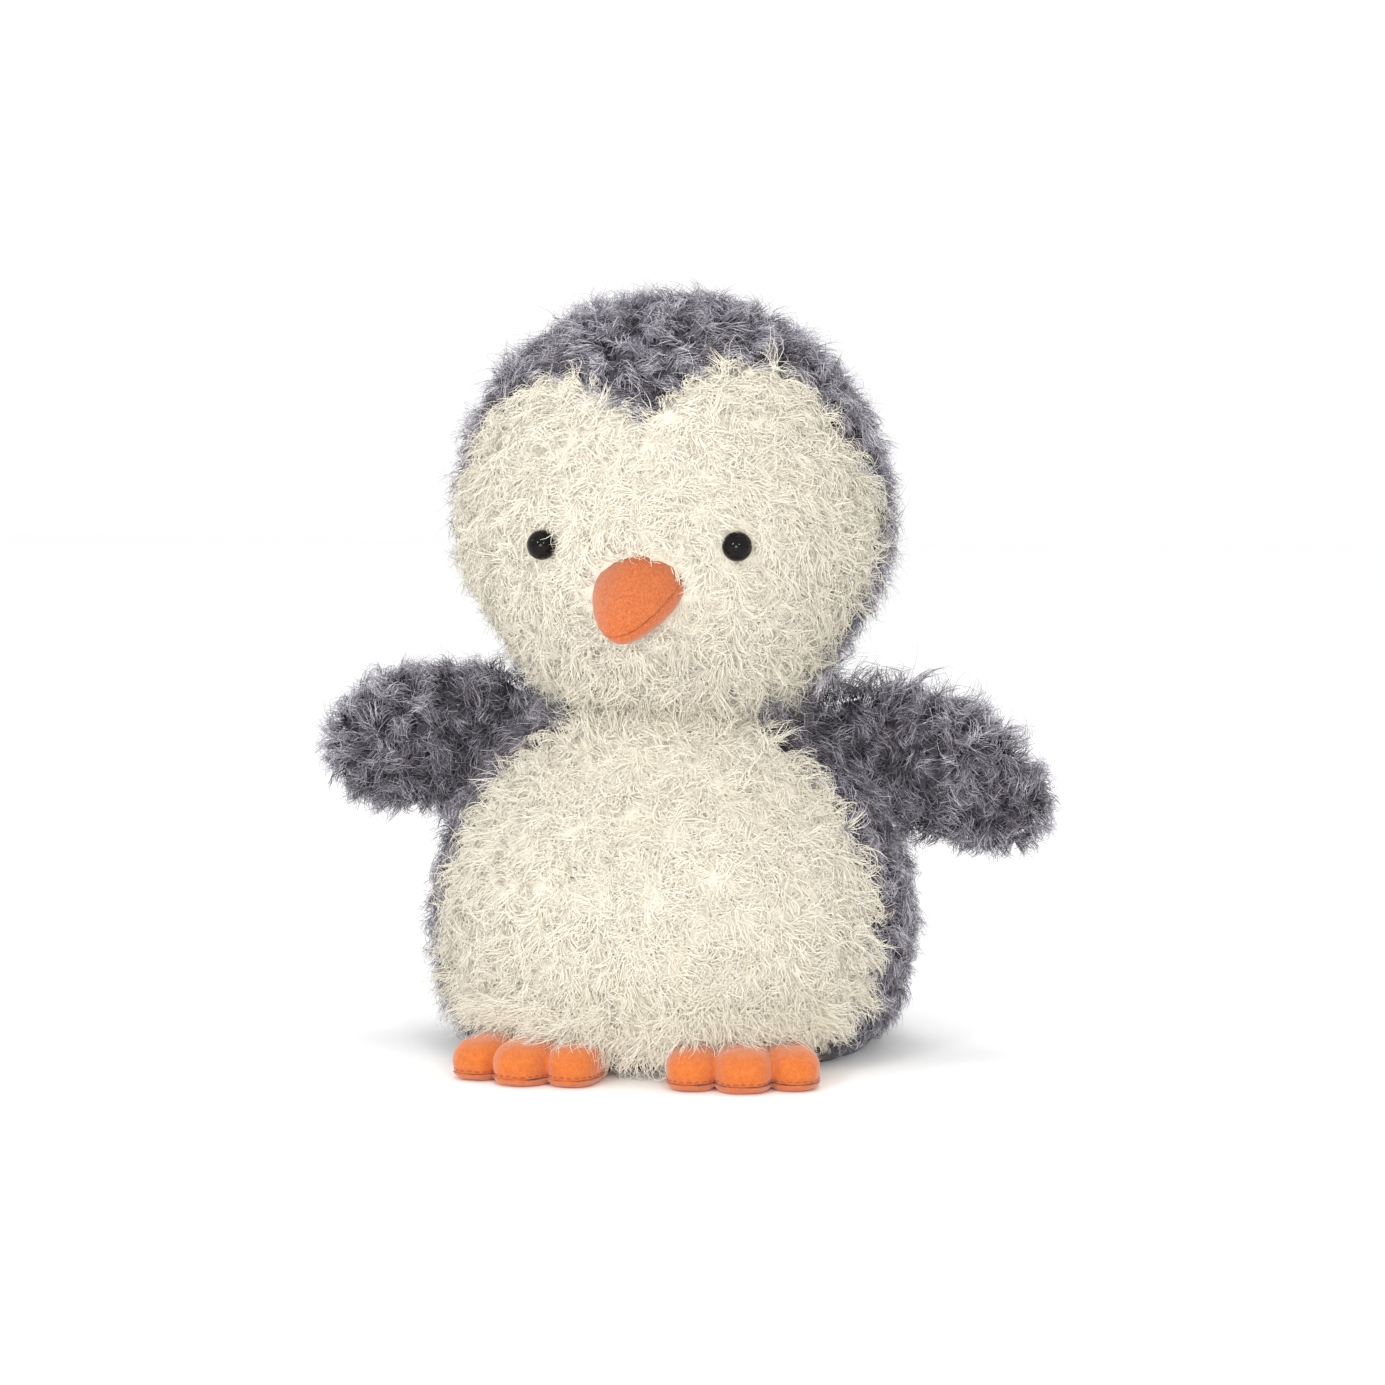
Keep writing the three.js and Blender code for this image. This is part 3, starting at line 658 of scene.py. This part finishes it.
def head_pile(p):
    q = unturned(p)
    length = np.full(len(p), 9.4)
    flow = np.zeros_like(p)
    flow[:, 2] = -0.6
    away = unit((p - np.array([0, 0, HEAD_Z])) * np.array([1, 0, 1]))
    flow += away * (0.30 * smooth((HEAD_Z + 14 - p[:, 2]) / 10))[:, None]
    keep = np.ones(len(p), bool)
    # the cheek on the right is flatter, and the left one fuller
    length *= 1 - 0.20 * smooth((-p[:, 0] - 20) / 12) * smooth((118 - p[:, 2]) / 14)
    length *= 1 + 0.16 * smooth((p[:, 0] - 34) / 8) * smooth((135 - p[:, 2]) / 14)
    length *= 1 + 0.16 * smooth((-p[:, 0] - 10) / 12) * smooth((p[:, 2] - 138) / 10)
    # parted round the eyes and the beak
    for at, out in EYES:
        d = p - at
        r = np.linalg.norm(d, axis=1)
        near = smooth((7.6 - r) / 4.4)
        length *= 1 - 0.66 * near
        flow = flow * (1 - near)[:, None] + unit(d) * near[:, None] * 1.1
        keep &= r > 3.35
    bx, bz = q[:, 0] + 0.6, (q[:, 2] - (BEAK_Z + 0.1))
    r = np.hypot(bx / 10.5, bz / 7.9)
    front = q[:, 1] < -30
    keep &= ~((r < 0.97) & front)
    near = smooth((1.7 - r) / 0.7) * front
    length *= 1 - 0.55 * near
    d = np.stack([bx, np.zeros(len(p)), bz], -1)
    flow = flow * (1 - near)[:, None] + turned(unit(d)) * near[:, None] * 1.2
    # the seam between the two halves of the face shows just above the beak
    seam = (np.abs(q[:, 0]) < 1.2) & (q[:, 2] > BEAK_Z + 6) & (q[:, 2] < BEAK_Z + 10.5) & front
    side = np.zeros_like(p)
    side[:, 0] = np.sign(q[:, 0])
    flow[seam] += side[seam] * 0.4
    # the hood's peak lies over the face, not the other way round
    top = np.interp(np.abs(q[:, 0]), FACE[:, 0], FACE[:, 1]) + HEAD_Z
    peak = smooth((6 - np.abs(top - q[:, 2])) / 4) * smooth((15 - np.abs(q[:, 0])) / 5) * (q[:, 1] < -10)
    flow[:, 2] -= 1.2 * peak
    flow[:, :2] *= (1 - peak)[:, None]
    length *= 1 - 0.22 * peak * (q[:, 2] < top)
    # longer under the chin, where it covers the neck
    low = smooth((104 - p[:, 2]) / 16)
    length *= 1 + 0.50 * low
    flow[:, 2] -= 0.4 * low
    return flow, length, keep


p, n = roots(head, lambda a: (a[:, 2] > 85.9) & is_face(a), PALE_GAP)
flow, length, keep = head_pile(p)
pile("face_pile", p[keep], n[keep], flow[keep], length[keep], "head", "pile_cream", rng, **PALE)
p, n = roots(head, lambda a: (a[:, 2] > 85.9) & ~is_face(a), GREY_GAP)
flow, length, keep = head_pile(p)
# the hood's locks are paler on the whole than the back's and the wings': painted top light on the crown; the noise
# gives random tone
light = np.clip(0.50 + 0.30 * noise3(p, 16.0, 41), 0.05, 0.92)
pile("hood_pile", p[keep], n[keep], flow[keep], length[keep] * 1.04, "head", "pile_grey", rng, light=light[keep], stiff=0.15 * np.ones(keep.sum()), **GREY)

# ---- torso
torso = Surface(torso_grid())


def is_belly(p):
    wide = np.interp(p[:, 2], BELLY[:, 1], BELLY[:, 0])
    wide = wide - np.where(p[:, 0] < 0, 4.5, 3.0) * smooth((p[:, 2] - 69) / 6) - np.where(p[:, 0] < 0, 9.0, 2.5) * smooth((17 - p[:, 2]) / 6)
    return (np.abs(p[:, 0]) < wide) & (p[:, 1] < 0)


def off_toes(pts):
    """Fibres lie over the toes rather than through them."""
    for sgn in (1, -1):
        yaw = math.radians(10 * sgn)
        for cx, cyy, a_, b_, c_, turn in TOES:
            ang = yaw + math.radians(turn)
            c0 = np.array([cx * math.cos(yaw) - cyy * math.sin(yaw) + sgn * 22.6, cx * math.sin(yaw) + cyy * math.cos(yaw) - 40.4, TOE_Z])
            d = pts - c0
            x = d[..., 0] * math.cos(ang) + d[..., 1] * math.sin(ang)
            y = -d[..., 0] * math.sin(ang) + d[..., 1] * math.cos(ang)
            q = (np.abs(x) / (a_ + 0.3)) ** 2.5 + (np.abs(y) / (b_ + 0.3)) ** 2.5 + (np.abs(d[..., 2]) / (TOE_C + 0.3)) ** 2.5
            inside = (q < 1) & (q > 1e-4)
            k = np.where(inside, np.clip(q, 1e-4, None) ** (-1 / 2.5), 1.0)
            k = np.minimum(k, 2.2)
            pts = c0 + d * k[..., None]
    return pts


def torso_pile(p, n):
    length = np.full(len(p), 9.4)
    flow = np.zeros_like(p)
    flow[:, 2] = -0.65
    flow += unit(p * np.array([1, 1, 0])) * 0.2
    # up over the neck
    high = smooth((p[:, 2] - 69) / 7)
    flow[:, 2] += 1.15 * high
    length *= 1 + 0.18 * high + 0.35 * high * smooth((np.abs(p[:, 0]) - 20) / 5)
    length *= 1 + 0.22 * smooth((-p[:, 0] - 40) / 8)
    length *= 1 + 0.08 * smooth((p[:, 0] - 40) / 8)
    # draped over the toes
    ahead_ = smooth((34 - np.abs(p[:, 0])) / 5) * (p[:, 1] < 0)
    toes = smooth((22 - p[:, 2]) / 5) * ahead_
    over = toes * smooth((21 - np.abs(np.abs(p[:, 0]) - 23)) / 5)
    length *= 1 + 0.40 * toes + 0.15 * over
    flow[:, 2] -= 0.5 * toes
    length *= 1 - np.where(p[:, 0] < 0, 0.22, 0.50) * smooth((14 - p[:, 2]) / 7) * (1 - ahead_)
    length *= 1 - 0.40 * smooth((8 - p[:, 2]) / 4) * ahead_
    # shorter where the wings are sewn on
    for (ax, az), (bx, bz) in (LEFT_ROOT, RIGHT_ROOT):
        s_ = np.clip(((p[:, 0] - ax) * (bx - ax) + (p[:, 2] - az) * (bz - az)) / ((bx - ax) ** 2 + (bz - az) ** 2), 0, 1)
        d = np.sqrt((p[:, 0] - ax - s_ * (bx - ax)) ** 2 + p[:, 1] ** 2 + (p[:, 2] - az - s_ * (bz - az)) ** 2)
        length *= 1 - 0.12 * smooth((6 - d) / 4)
    # none behind the toes
    ahead = p + n * 3.5
    keep = np.abs(off_toes(ahead) - ahead).max(1) < 1e-9
    return flow, length, keep


p, n = roots(torso, lambda a: (a[:, 2] > 4.2) & is_belly(a), PALE_GAP)
flow, length, keep = torso_pile(p, n)
stiff = 0.72 * smooth((23 - p[:, 2]) / 6)
pile("belly_pile", p[keep], n[keep], flow[keep], length[keep], "torso", "pile_cream", rng, stiff=stiff[keep], fix=off_toes, **PALE)
p, n = roots(torso, lambda a: (a[:, 2] > 9.8) & (a[:, 2] < 16.0) & (np.abs(np.abs(a[:, 0]) - 22.6) < 16.5) & is_belly(a), 1.35 / math.sqrt(DENSE))
out = unit(p * np.array([0.55, 1, 0]))
out[:, 2] = 0.24 - 0.05 * (p[:, 2] - 9.8)
pile("fringe_pile", p, unit(out), np.tile([0.0, 0.0, -1.0], (len(p), 1)), np.full(len(p), 15.5), "torso", "pile_cream", rng, stiff=np.full(len(p), 0.9),
     fix=off_toes, **dict(PALE, rise=(0, 14), curl=0.9))
p, n = roots(torso, lambda a: (a[:, 2] > 4.2) & ~is_belly(a), GREY_GAP)
flow, length, keep = torso_pile(p, n)
light = np.clip(0.34 + 0.22 * smooth((p[:, 0] - 25) / 12) + 0.28 * noise3(p, 16.0, 42) - 0.35 * smooth((p[:, 2] - 66) / 6), 0.03, 0.9)
stiff = 0.55 * smooth((p[:, 2] - 69) / 6)
pile("back_pile", p[keep], n[keep], flow[keep], length[keep], "torso", "pile_grey", rng, light=light[keep], stiff=stiff[keep], fix=off_toes, **GREY)

# ---- neck: a short stuffed stretch that shows only as a crease between head and body
neck = Surface(neck_grid())


def is_throat(p):
    return (p[:, 1] < 0) & (p[:, 0] > -19.0) & (p[:, 0] < 19.5)


for name, slot, gap, look, ahead in (("front", "pile_cream", PALE_GAP, PALE, 1), ("back", "pile_grey", GREY_GAP * 0.9, GREY, -1)):
    p, n = roots(neck, lambda a: is_throat(a) == (ahead > 0), gap)
    flow = np.zeros_like(p)
    flow[:, 2] = -0.25
    pile("neck_pile_" + name, p, n, flow, np.full(len(p), 10.0), "neck", slot, rng, stiff=np.full(len(p), 0.5), **look)

# ---- wings
for side, outline, root in (("left", LEFT_WING, LEFT_ROOT), ("right", RIGHT_WING, RIGHT_ROOT)):
    wing = Surface(wing_grid(outline, root))
    p, n = roots(wing, lambda a: a[:, 2] > 0, gap=2.15 / math.sqrt(DENSE))
    seam_p, seam_n = roots(wing, lambda a: np.abs(a[:, 1]) < 1.0, gap=2.0 / math.sqrt(DENSE))
    on_seam = np.r_[np.zeros(len(p)), np.ones(len(seam_p))]
    p, n = np.r_[p, seam_p], np.r_[n, seam_n]
    (ax, az), (bx, bz) = root
    far = np.abs((p[:, 0] - ax) * (bz - az) - (p[:, 2] - az) * (bx - ax)) / math.hypot(bx - ax, bz - az)
    flow = np.zeros_like(p)
    loop = catmull(outline, 160)
    near_x = np.abs(loop[None, :, 0] - p[:, :1]) < 4
    hi = np.where(near_x, loop[None, :, 1], -1e3).max(1)
    lo = np.where(near_x, loop[None, :, 1], 1e3).min(1)
    level = np.clip((2 * p[:, 2] - hi - lo) / np.maximum(hi - lo, 1.0), -1, 1)
    flow[:, 2] = -0.12 + 0.5 * level
    flow[:, 0] = math.copysign(0.35, outline[0][0])
    edge = smooth((np.abs(n[:, 2]) - 0.35) / 0.5)
    tipward = smooth((np.abs(n[:, 0]) - 0.35) / 0.5) * smooth((far - 20) / 10)
    top = edge * (n[:, 2] > 0)
    under = edge * (n[:, 2] < 0)
    length = 10.4 * (1 + 0.12 * np.maximum(edge, tipward) + (0.20 if side == "left" else -0.22) * top - (0.38 if side == "left" else 0.22) * under)
    stiff = np.clip(0.15 + 0.22 * edge + 0.25 * smooth((15 - far) / 7) * top + 0.2 * tipward + 0.2 * edge * (n[:, 2] < 0), 0, 0.8)
    near = smooth((7 - far) / 4)
    flow[:, 0] -= 1.0 * near * np.sign(flow[:, 0])
    length *= 1 + 0.15 * near + 0.34 * smooth((15 - far) / 7) * top
    length *= 1 - 0.28 * on_seam
    stiff *= 1 - 0.8 * on_seam
    light = np.clip(0.04 + 0.62 * smooth((far - 14) / 22) + 0.18 * noise3(p, 12.0, 43), 0.03, 0.85)
    pile("%s_wing_pile" % side, p, n, flow, length, side + "_wing", "pile_grey", rng, light=light, stiff=stiff, per=23, spread_mm=1.75,
         width=0.078, stray=0.13, curl=1.15)

# ------------------------------------------------------------------ grounds of the pile panels
skin("belly_panel", "belly_ground", "torso", CREAM_GROUND_PAINTED_SHADE, other=(GREY_GROUND_PAINTED_SHADE, lambda c: ~is_belly(c)))
skin("back_panel_left", "back_left_ground", "torso", GREY_GROUND_PAINTED_SHADE, other=(CREAM_GROUND_PAINTED_SHADE, is_belly))
skin("back_panel_right", "back_right_ground", "torso", GREY_GROUND_PAINTED_SHADE, other=(CREAM_GROUND_PAINTED_SHADE, is_belly))
skin("base_panel", "base_ground", "torso", GREY_GROUND_PAINTED_SHADE, voxel=0.9, relief=0.15, sink=0.0)
skin("face_left", "face_left_ground", "head", CREAM_GROUND_PAINTED_SHADE, other=(GREY_GROUND_PAINTED_SHADE, lambda c: ~is_face(c)))
skin("face_right", "face_right_ground", "head", CREAM_GROUND_PAINTED_SHADE, other=(GREY_GROUND_PAINTED_SHADE, lambda c: ~is_face(c)))
skin("hood_left", "hood_left_ground", "head", GREY_GROUND_PAINTED_SHADE, other=(CREAM_GROUND_PAINTED_SHADE, is_face))
skin("hood_right", "hood_right_ground", "head", GREY_GROUND_PAINTED_SHADE, other=(CREAM_GROUND_PAINTED_SHADE, is_face))
for side in ("left", "right"):
    for part in ("front", "back"):
        skin("%s_wing_%s" % (side, part), "%s_wing_%s_ground" % (side, part), side + "_wing", GREY_GROUND_PAINTED_SHADE, voxel=0.8, relief=0.25, rounds=3, sink=0.35)


def grid_mesh(name, grid, mats, caps=True):
    """A closed mesh from a grid that wraps round in u, with its two ends capped."""
    nu, nv = grid.shape[0] - 1, grid.shape[1]
    verts = [tuple(q * MM) for q in grid[:nu].reshape(-1, 3)]
    faces = [[i * nv + j, ((i + 1) % nu) * nv + j, ((i + 1) % nu) * nv + j + 1, i * nv + j + 1] for i in range(nu) for j in range(nv - 1)]
    if caps:
        faces.append([i * nv for i in range(nu)][::-1])
        faces.append([i * nv + nv - 1 for i in range(nu)])
    me = bpy.data.meshes.new(name)
    me.from_pydata(verts, [], faces)
    me.update()
    return put(name, me, mats)


# its cloth goes on up inside the head, and covers the opening when the head nods
ring = neck.p - neck.n * 0.3
dome = [np.c_[ring[:, -1, :2] * k, np.full(len(ring), z)] for z, k in ((89.5, 0.975), (91.0, 0.94), (92.5, 0.89), (94.0, 0.82))]
neck_ground = grid_mesh("neck_ground", np.concatenate([ring, np.stack(dome, 1)], 1), [CREAM_GROUND_PAINTED_SHADE])
neck_ground.data.shade_smooth()
tint(neck_ground, GREY_GROUND_PAINTED_SHADE, lambda c: ~is_throat(c))
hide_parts("neck_filling")
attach(neck_ground, "neck")


# ------------------------------------------------------------------ eyes
def eye(side, at, out):
    bm = bmesh.new()
    bmesh.ops.create_uvsphere(bm, u_segments=56, v_segments=36, radius=3.4)
    for v in bm.verts:
        if v.co.z < -0.6:
            v.co.z = -0.6 + (v.co.z + 0.6) * 0.55
    bm2 = bmesh.new()
    bmesh.ops.create_cone(bm2, cap_ends=True, segments=24, radius1=1.2, radius2=1.2, depth=7.5)
    bmesh.ops.translate(bm2, verts=bm2.verts, vec=(0, 0, -5.2))
    tmp = bpy.data.meshes.new("shank")
    bm2.to_mesh(tmp)
    bm2.free()
    bm.from_mesh(tmp)
    bpy.data.meshes.remove(tmp)
    me = bpy.data.meshes.new(side + "_eye_dome")
    q = Vector((0, 0, 1)).rotation_difference(Vector(out)).to_matrix().to_4x4()
    q.translation = Vector(at + out * 1.7)
    bmesh.ops.transform(bm, matrix=q, verts=bm.verts)
    for v in bm.verts:
        v.co *= MM
    bm.to_mesh(me)
    bm.free()
    me.shade_smooth()
    o = put(side + "_eye_dome", me, [EYE])
    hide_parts(side + "_eye")
    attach(o, "head")


eye("left", *EYES[0])
eye("right", *EYES[1])


# ------------------------------------------------------------------ beak
BEAK_PROFILE = np.array([[10.2, -5.0], [10.35, -1.0], [10.3, 1.2], [9.7, 4.2], [8.7, 7.4], [7.45, 10.5], [6.1, 13.3], [4.7, 15.6], [3.2, 17.3], [1.6, 18.2], [0.05, 18.5]])


def beak_grid(grow):
    u, s_ = np.meshgrid(np.linspace(0, 2 * math.pi, 97), np.linspace(0, 1, 60), indexing="ij")
    seg = np.r_[0, np.cumsum(np.hypot(*np.diff(BEAK_PROFILE, axis=0).T))]
    r = np.interp(s_ * seg[-1], seg, BEAK_PROFILE[:, 0]) + grow
    t = np.interp(s_ * seg[-1], seg, BEAK_PROFILE[:, 1])
    r = r * (1 + 0.11 * np.exp(-((u - math.pi / 2) / 0.30) ** 2) * smooth(1 - t / 8))
    x, z = r * power(np.cos(u), 1.08), 0.70 * r * power(np.sin(u), 1.08)
    return x, t, z


def power(a, e):
    return np.sign(a) * np.abs(a) ** e


def beak_place(x, t, z):
    yaw = math.radians(-6)
    y = -t * math.cos(DROOP) - z * math.sin(DROOP)
    zz = -t * math.sin(DROOP) + z * math.cos(DROOP)
    q = np.stack([x * math.cos(yaw) - y * math.sin(yaw), x * math.sin(yaw) + y * math.cos(yaw) + BEAK_Y, zz + BEAK_Z], -1)
    return turned(q)


BEAK_CUT = 0.6  # the seam, a little higher on the toy's left as in the photo


def beak_piece(node, name, upper):
    x, t, z = beak_grid(0.0 if upper else -0.3)
    cut = BEAK_CUT + 0.15 * x
    z = np.maximum(z, cut + 0.05) if upper else np.minimum(z, cut - 0.28)
    o = grid_mesh(name, beak_place(x, t, z), [BEAK_SUEDE])
    m = o.modifiers.new("remesh", "REMESH")
    m.mode, m.voxel_size = "VOXEL", 0.28 * MM
    s_ = o.modifiers.new("smooth", "SMOOTH")
    s_.factor, s_.iterations = 0.5, 7
    baked(o)
    largest_only(o.data)
    p = coords(o.data) / MM
    n = np.empty(len(p) * 3, np.float32)
    o.data.vertices.foreach_get("normal", n)
    n = n.reshape(-1, 3)
    p = p + n * (0.16 + noise3(p, 4.2, 15) * 0.09 + noise3(p, 0.7, 16) * 0.03)[:, None]
    set_coords(o.data, p * MM)
    o.data.shade_smooth()
    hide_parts(node)
    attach(o, "head")
    return o


beak_piece("beak_upper", "beak_upper_suede", True)
beak_piece("beak_lower", "beak_lower_suede", False)

# ------------------------------------------------------------------ feet
def foot(side, sgn):
    yaw = math.radians(10 * sgn)
    cy, sy = math.cos(yaw), math.sin(yaw)

    def place(q):
        q = np.array(q, float)
        x, y = q[..., 0].copy(), q[..., 1].copy()
        q[..., 0], q[..., 1] = x * cy - y * sy + sgn * 22.6, x * sy + y * cy - 40.4
        return q

    def toe(i, grow=0.0):
        cx, cyy, a, b, _, turn = TOES[i]
        u, v = np.meshgrid(np.linspace(0, 2 * math.pi, 65), np.linspace(-math.pi / 2 + 0.02, math.pi / 2 - 0.02, 41), indexing="ij")
        c = TOE_C * (1.0, 0.955, 0.955, 0.85)[i]
        q = np.stack([power(np.cos(v), 0.58) * power(np.cos(u), 0.74) * (a + grow), power(np.cos(v), 0.58) * power(np.sin(u), 0.74) * (b + grow), power(np.sin(v), 0.68) * c], -1)
        # narrower towards the top, like a filled pillow pinched by its grooves
        z = q[..., 2] + TOE_Z
        if i < 3:
            k = 1 - 0.07 * smooth((z - 3.0) / 6.0)
            q[..., 0] *= k
            q[..., 1] *= 1 - 0.07 * smooth((z - 4.0) / 5.0)
        # drawn in along the topstitching
        k = 1 - 0.035 * np.exp(-((z - 2.35) / 0.5) ** 2)
        q[..., 0] *= k
        q[..., 1] *= k
        t = math.radians(turn)
        x, y = q[..., 0].copy(), q[..., 1].copy()
        q[..., 0], q[..., 1] = x * math.cos(t) - y * math.sin(t) + cx, x * math.sin(t) + y * math.cos(t) + cyy
        q[..., 2] += TOE_Z
        return q

    def build(name, lo, hi, grow, voxel, rounds):
        bm = bmesh.new()
        for i in range(4):
            q = toe(i, grow)
            q[..., 2] = np.clip(q[..., 2], lo, hi)
            tmp = grid_mesh("tmp", place(q), [])
            bm.from_mesh(tmp.data)
            me = tmp.data
            bpy.data.objects.remove(tmp)
            bpy.data.meshes.remove(me)
        bmesh.ops.recalc_face_normals(bm, faces=bm.faces)
        me = bpy.data.meshes.new(name)
        bm.to_mesh(me)
        bm.free()
        o = put(name, me, [SUEDE])
        m = o.modifiers.new("remesh", "REMESH")
        m.mode, m.voxel_size = "VOXEL", voxel * MM
        s_ = o.modifiers.new("smooth", "SMOOTH")
        s_.factor, s_.iterations = 0.5, rounds
        baked(o)
        largest_only(o.data)
        p = coords(o.data) / MM
        # its back follows the body's side, sloped away so that it can lift
        rho = np.hypot(p[:, 0], p[:, 1] / 0.88)
        rc = np.interp(p[:, 2], [0, 0.4, 3.6, 13], [49.2, 49.6, 51.0, 57.5])
        k = np.where(rho < rc, rc / rho, 1.0)
        p[:, 0] *= k
        p[:, 1] *= k
        n = np.empty(len(p) * 3, np.float32)
        o.data.vertices.foreach_get("normal", n)
        n = n.reshape(-1, 3)
        free = (k == 1.0)[:, None]
        p = p + n * free * (noise3(p, 6.0, 25) * 0.14 + noise3(p, 1.1, 26) * 0.03)[:, None]
        p[:, 2] = np.clip(p[:, 2], 0.02, None)
        set_coords(o.data, p * MM)
        o.data.shade_smooth()
        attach(o, side + "_foot")
        return o

    upper = build(side + "_foot_upper_suede", 1.66, 30, 0.0, 0.36, 4)
    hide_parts(side + "_foot_upper")
    sole = build(side + "_foot_sole_suede", 0.0, 1.52, 0.28, 0.3, 2)
    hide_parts(side + "_foot_sole")

    # topstitching just over the edge of the sole, round the toes
    tree = BVHTree.FromPolygons([v.co.copy() for v in upper.data.vertices], [tuple(f.vertices) for f in upper.data.polygons])
    line = []
    for ang in np.radians(np.arange(176, 365, 1.0)):
        centre = place(np.array([0, -1.0, 2.3]))
        start = place(np.array([math.cos(ang) * 40, math.sin(ang) * 40 - 1.0, 2.3]))
        hit, normal, _, _ = tree.ray_cast(Vector(start * MM), Vector(centre - start).normalized())
        if hit is not None:
            q = np.array(hit) / MM
            if math.hypot(q[0], q[1] / 0.88) > 52.5:
                line.append(q + np.array(normal) * 0.02)
    line = np.array(line)
    seg = np.r_[0, np.cumsum(np.linalg.norm(np.diff(line, axis=0), axis=1))]
    bm = bmesh.new()
    d = 0.6
    r2 = np.random.default_rng(31)
    while d + 1.2 < seg[-1]:
        w = 1.15 * r2.uniform(0.85, 1.1)
        ts = np.linspace(d, d + w, 5)
        path = np.stack([np.interp(ts, seg, line[:, c]) for c in range(3)], -1)
        path[:, 2] = 2.3 + r2.uniform(-0.12, 0.12) + np.linspace(-1, 1, 5) * r2.uniform(-0.08, 0.08)
        rings = []
        for i, c in enumerate(path):
            tan = unit(path[min(i + 1, 4)] - path[max(i - 1, 0)])
            side_v = np.cross(tan, [0, 0, 1.0])
            rr = 0.2 * math.sqrt(max(0.12, 1 - (abs(i - 2) / 2.2) ** 2))
            rings.append([bm.verts.new((c + (math.cos(a) * side_v + math.sin(a) * np.array([0, 0, 1.0])) * rr) * MM) for a in np.linspace(0, 2 * math.pi, 8, endpoint=False)])
        for i in range(4):
            for j in range(8):
                bm.faces.new([rings[i][j], rings[i][(j + 1) % 8], rings[i + 1][(j + 1) % 8], rings[i + 1][j]])
        bm.faces.new(rings[0][::-1])
        bm.faces.new(rings[4])
        d += 1.75
    bmesh.ops.recalc_face_normals(bm, faces=bm.faces)
    me = bpy.data.meshes.new(side + "_foot_stitching")
    bm.to_mesh(me)
    bm.free()
    me.shade_smooth()
    o = put(side + "_foot_stitching", me, [THREAD])
    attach(o, side + "_foot")


foot("left", 1)
foot("right", -1)

# ------------------------------------------------------------------ finishes of the hidden CAD pieces
for node, o in frame["nodes"].items():
    m = FILLING if node.endswith("_filling") else POUCH if node == "pellet_pouch" else WASHER if node.endswith("_washer") else None
    if m:
        for s in o.material_slots:
            s.material = m

# ------------------------------------------------------------------ stage and light
bpy.ops.mesh.primitive_plane_add(size=6, location=(0, 0, -0.0001))
floor = bpy.context.object
floor.name = "floor"
fm = bpy.data.materials.new("white_floor")
fm.use_nodes = True
fm.node_tree.nodes["Principled BSDF"].inputs["Base Color"].default_value = (0.95, 0.95, 0.95, 1)
fm.node_tree.nodes["Principled BSDF"].inputs["Roughness"].default_value = 0.9
fm.node_tree.nodes["Principled BSDF"].inputs["Specular IOR Level"].default_value = 0.1
floor.data.materials.append(fm)

world = bpy.data.worlds.new("world")
scene.world = world
world.use_nodes = True
bg = world.node_tree.nodes["Background"]
bg.inputs["Color"].default_value = (1, 1, 1, 1)
bg.inputs["Strength"].default_value = 1.04


def area(name, loc, size, power, target=(0, 0, 0.09), color=(1, 1, 1)):
    l = bpy.data.lights.new(name, "AREA")
    l.shape, l.size, l.energy, l.color = "DISK", size, power, color
    o = bpy.data.objects.new(name, l)
    scene.collection.objects.link(o)
    o.location = loc
    o.rotation_euler = (Vector(target) - Vector(loc)).to_track_quat("-Z", "Y").to_euler()
    return o


area("key", (-0.42, -1.00, 0.56), 0.16, 2.9)
area("fill", (0.48, -1.05, 0.50), 0.16, 1.9)
area("front", (0.05, -1.30, 0.13), 0.44, 5.5)
area("top", (0.0, 0.15, 1.2), 0.6, 3.4)
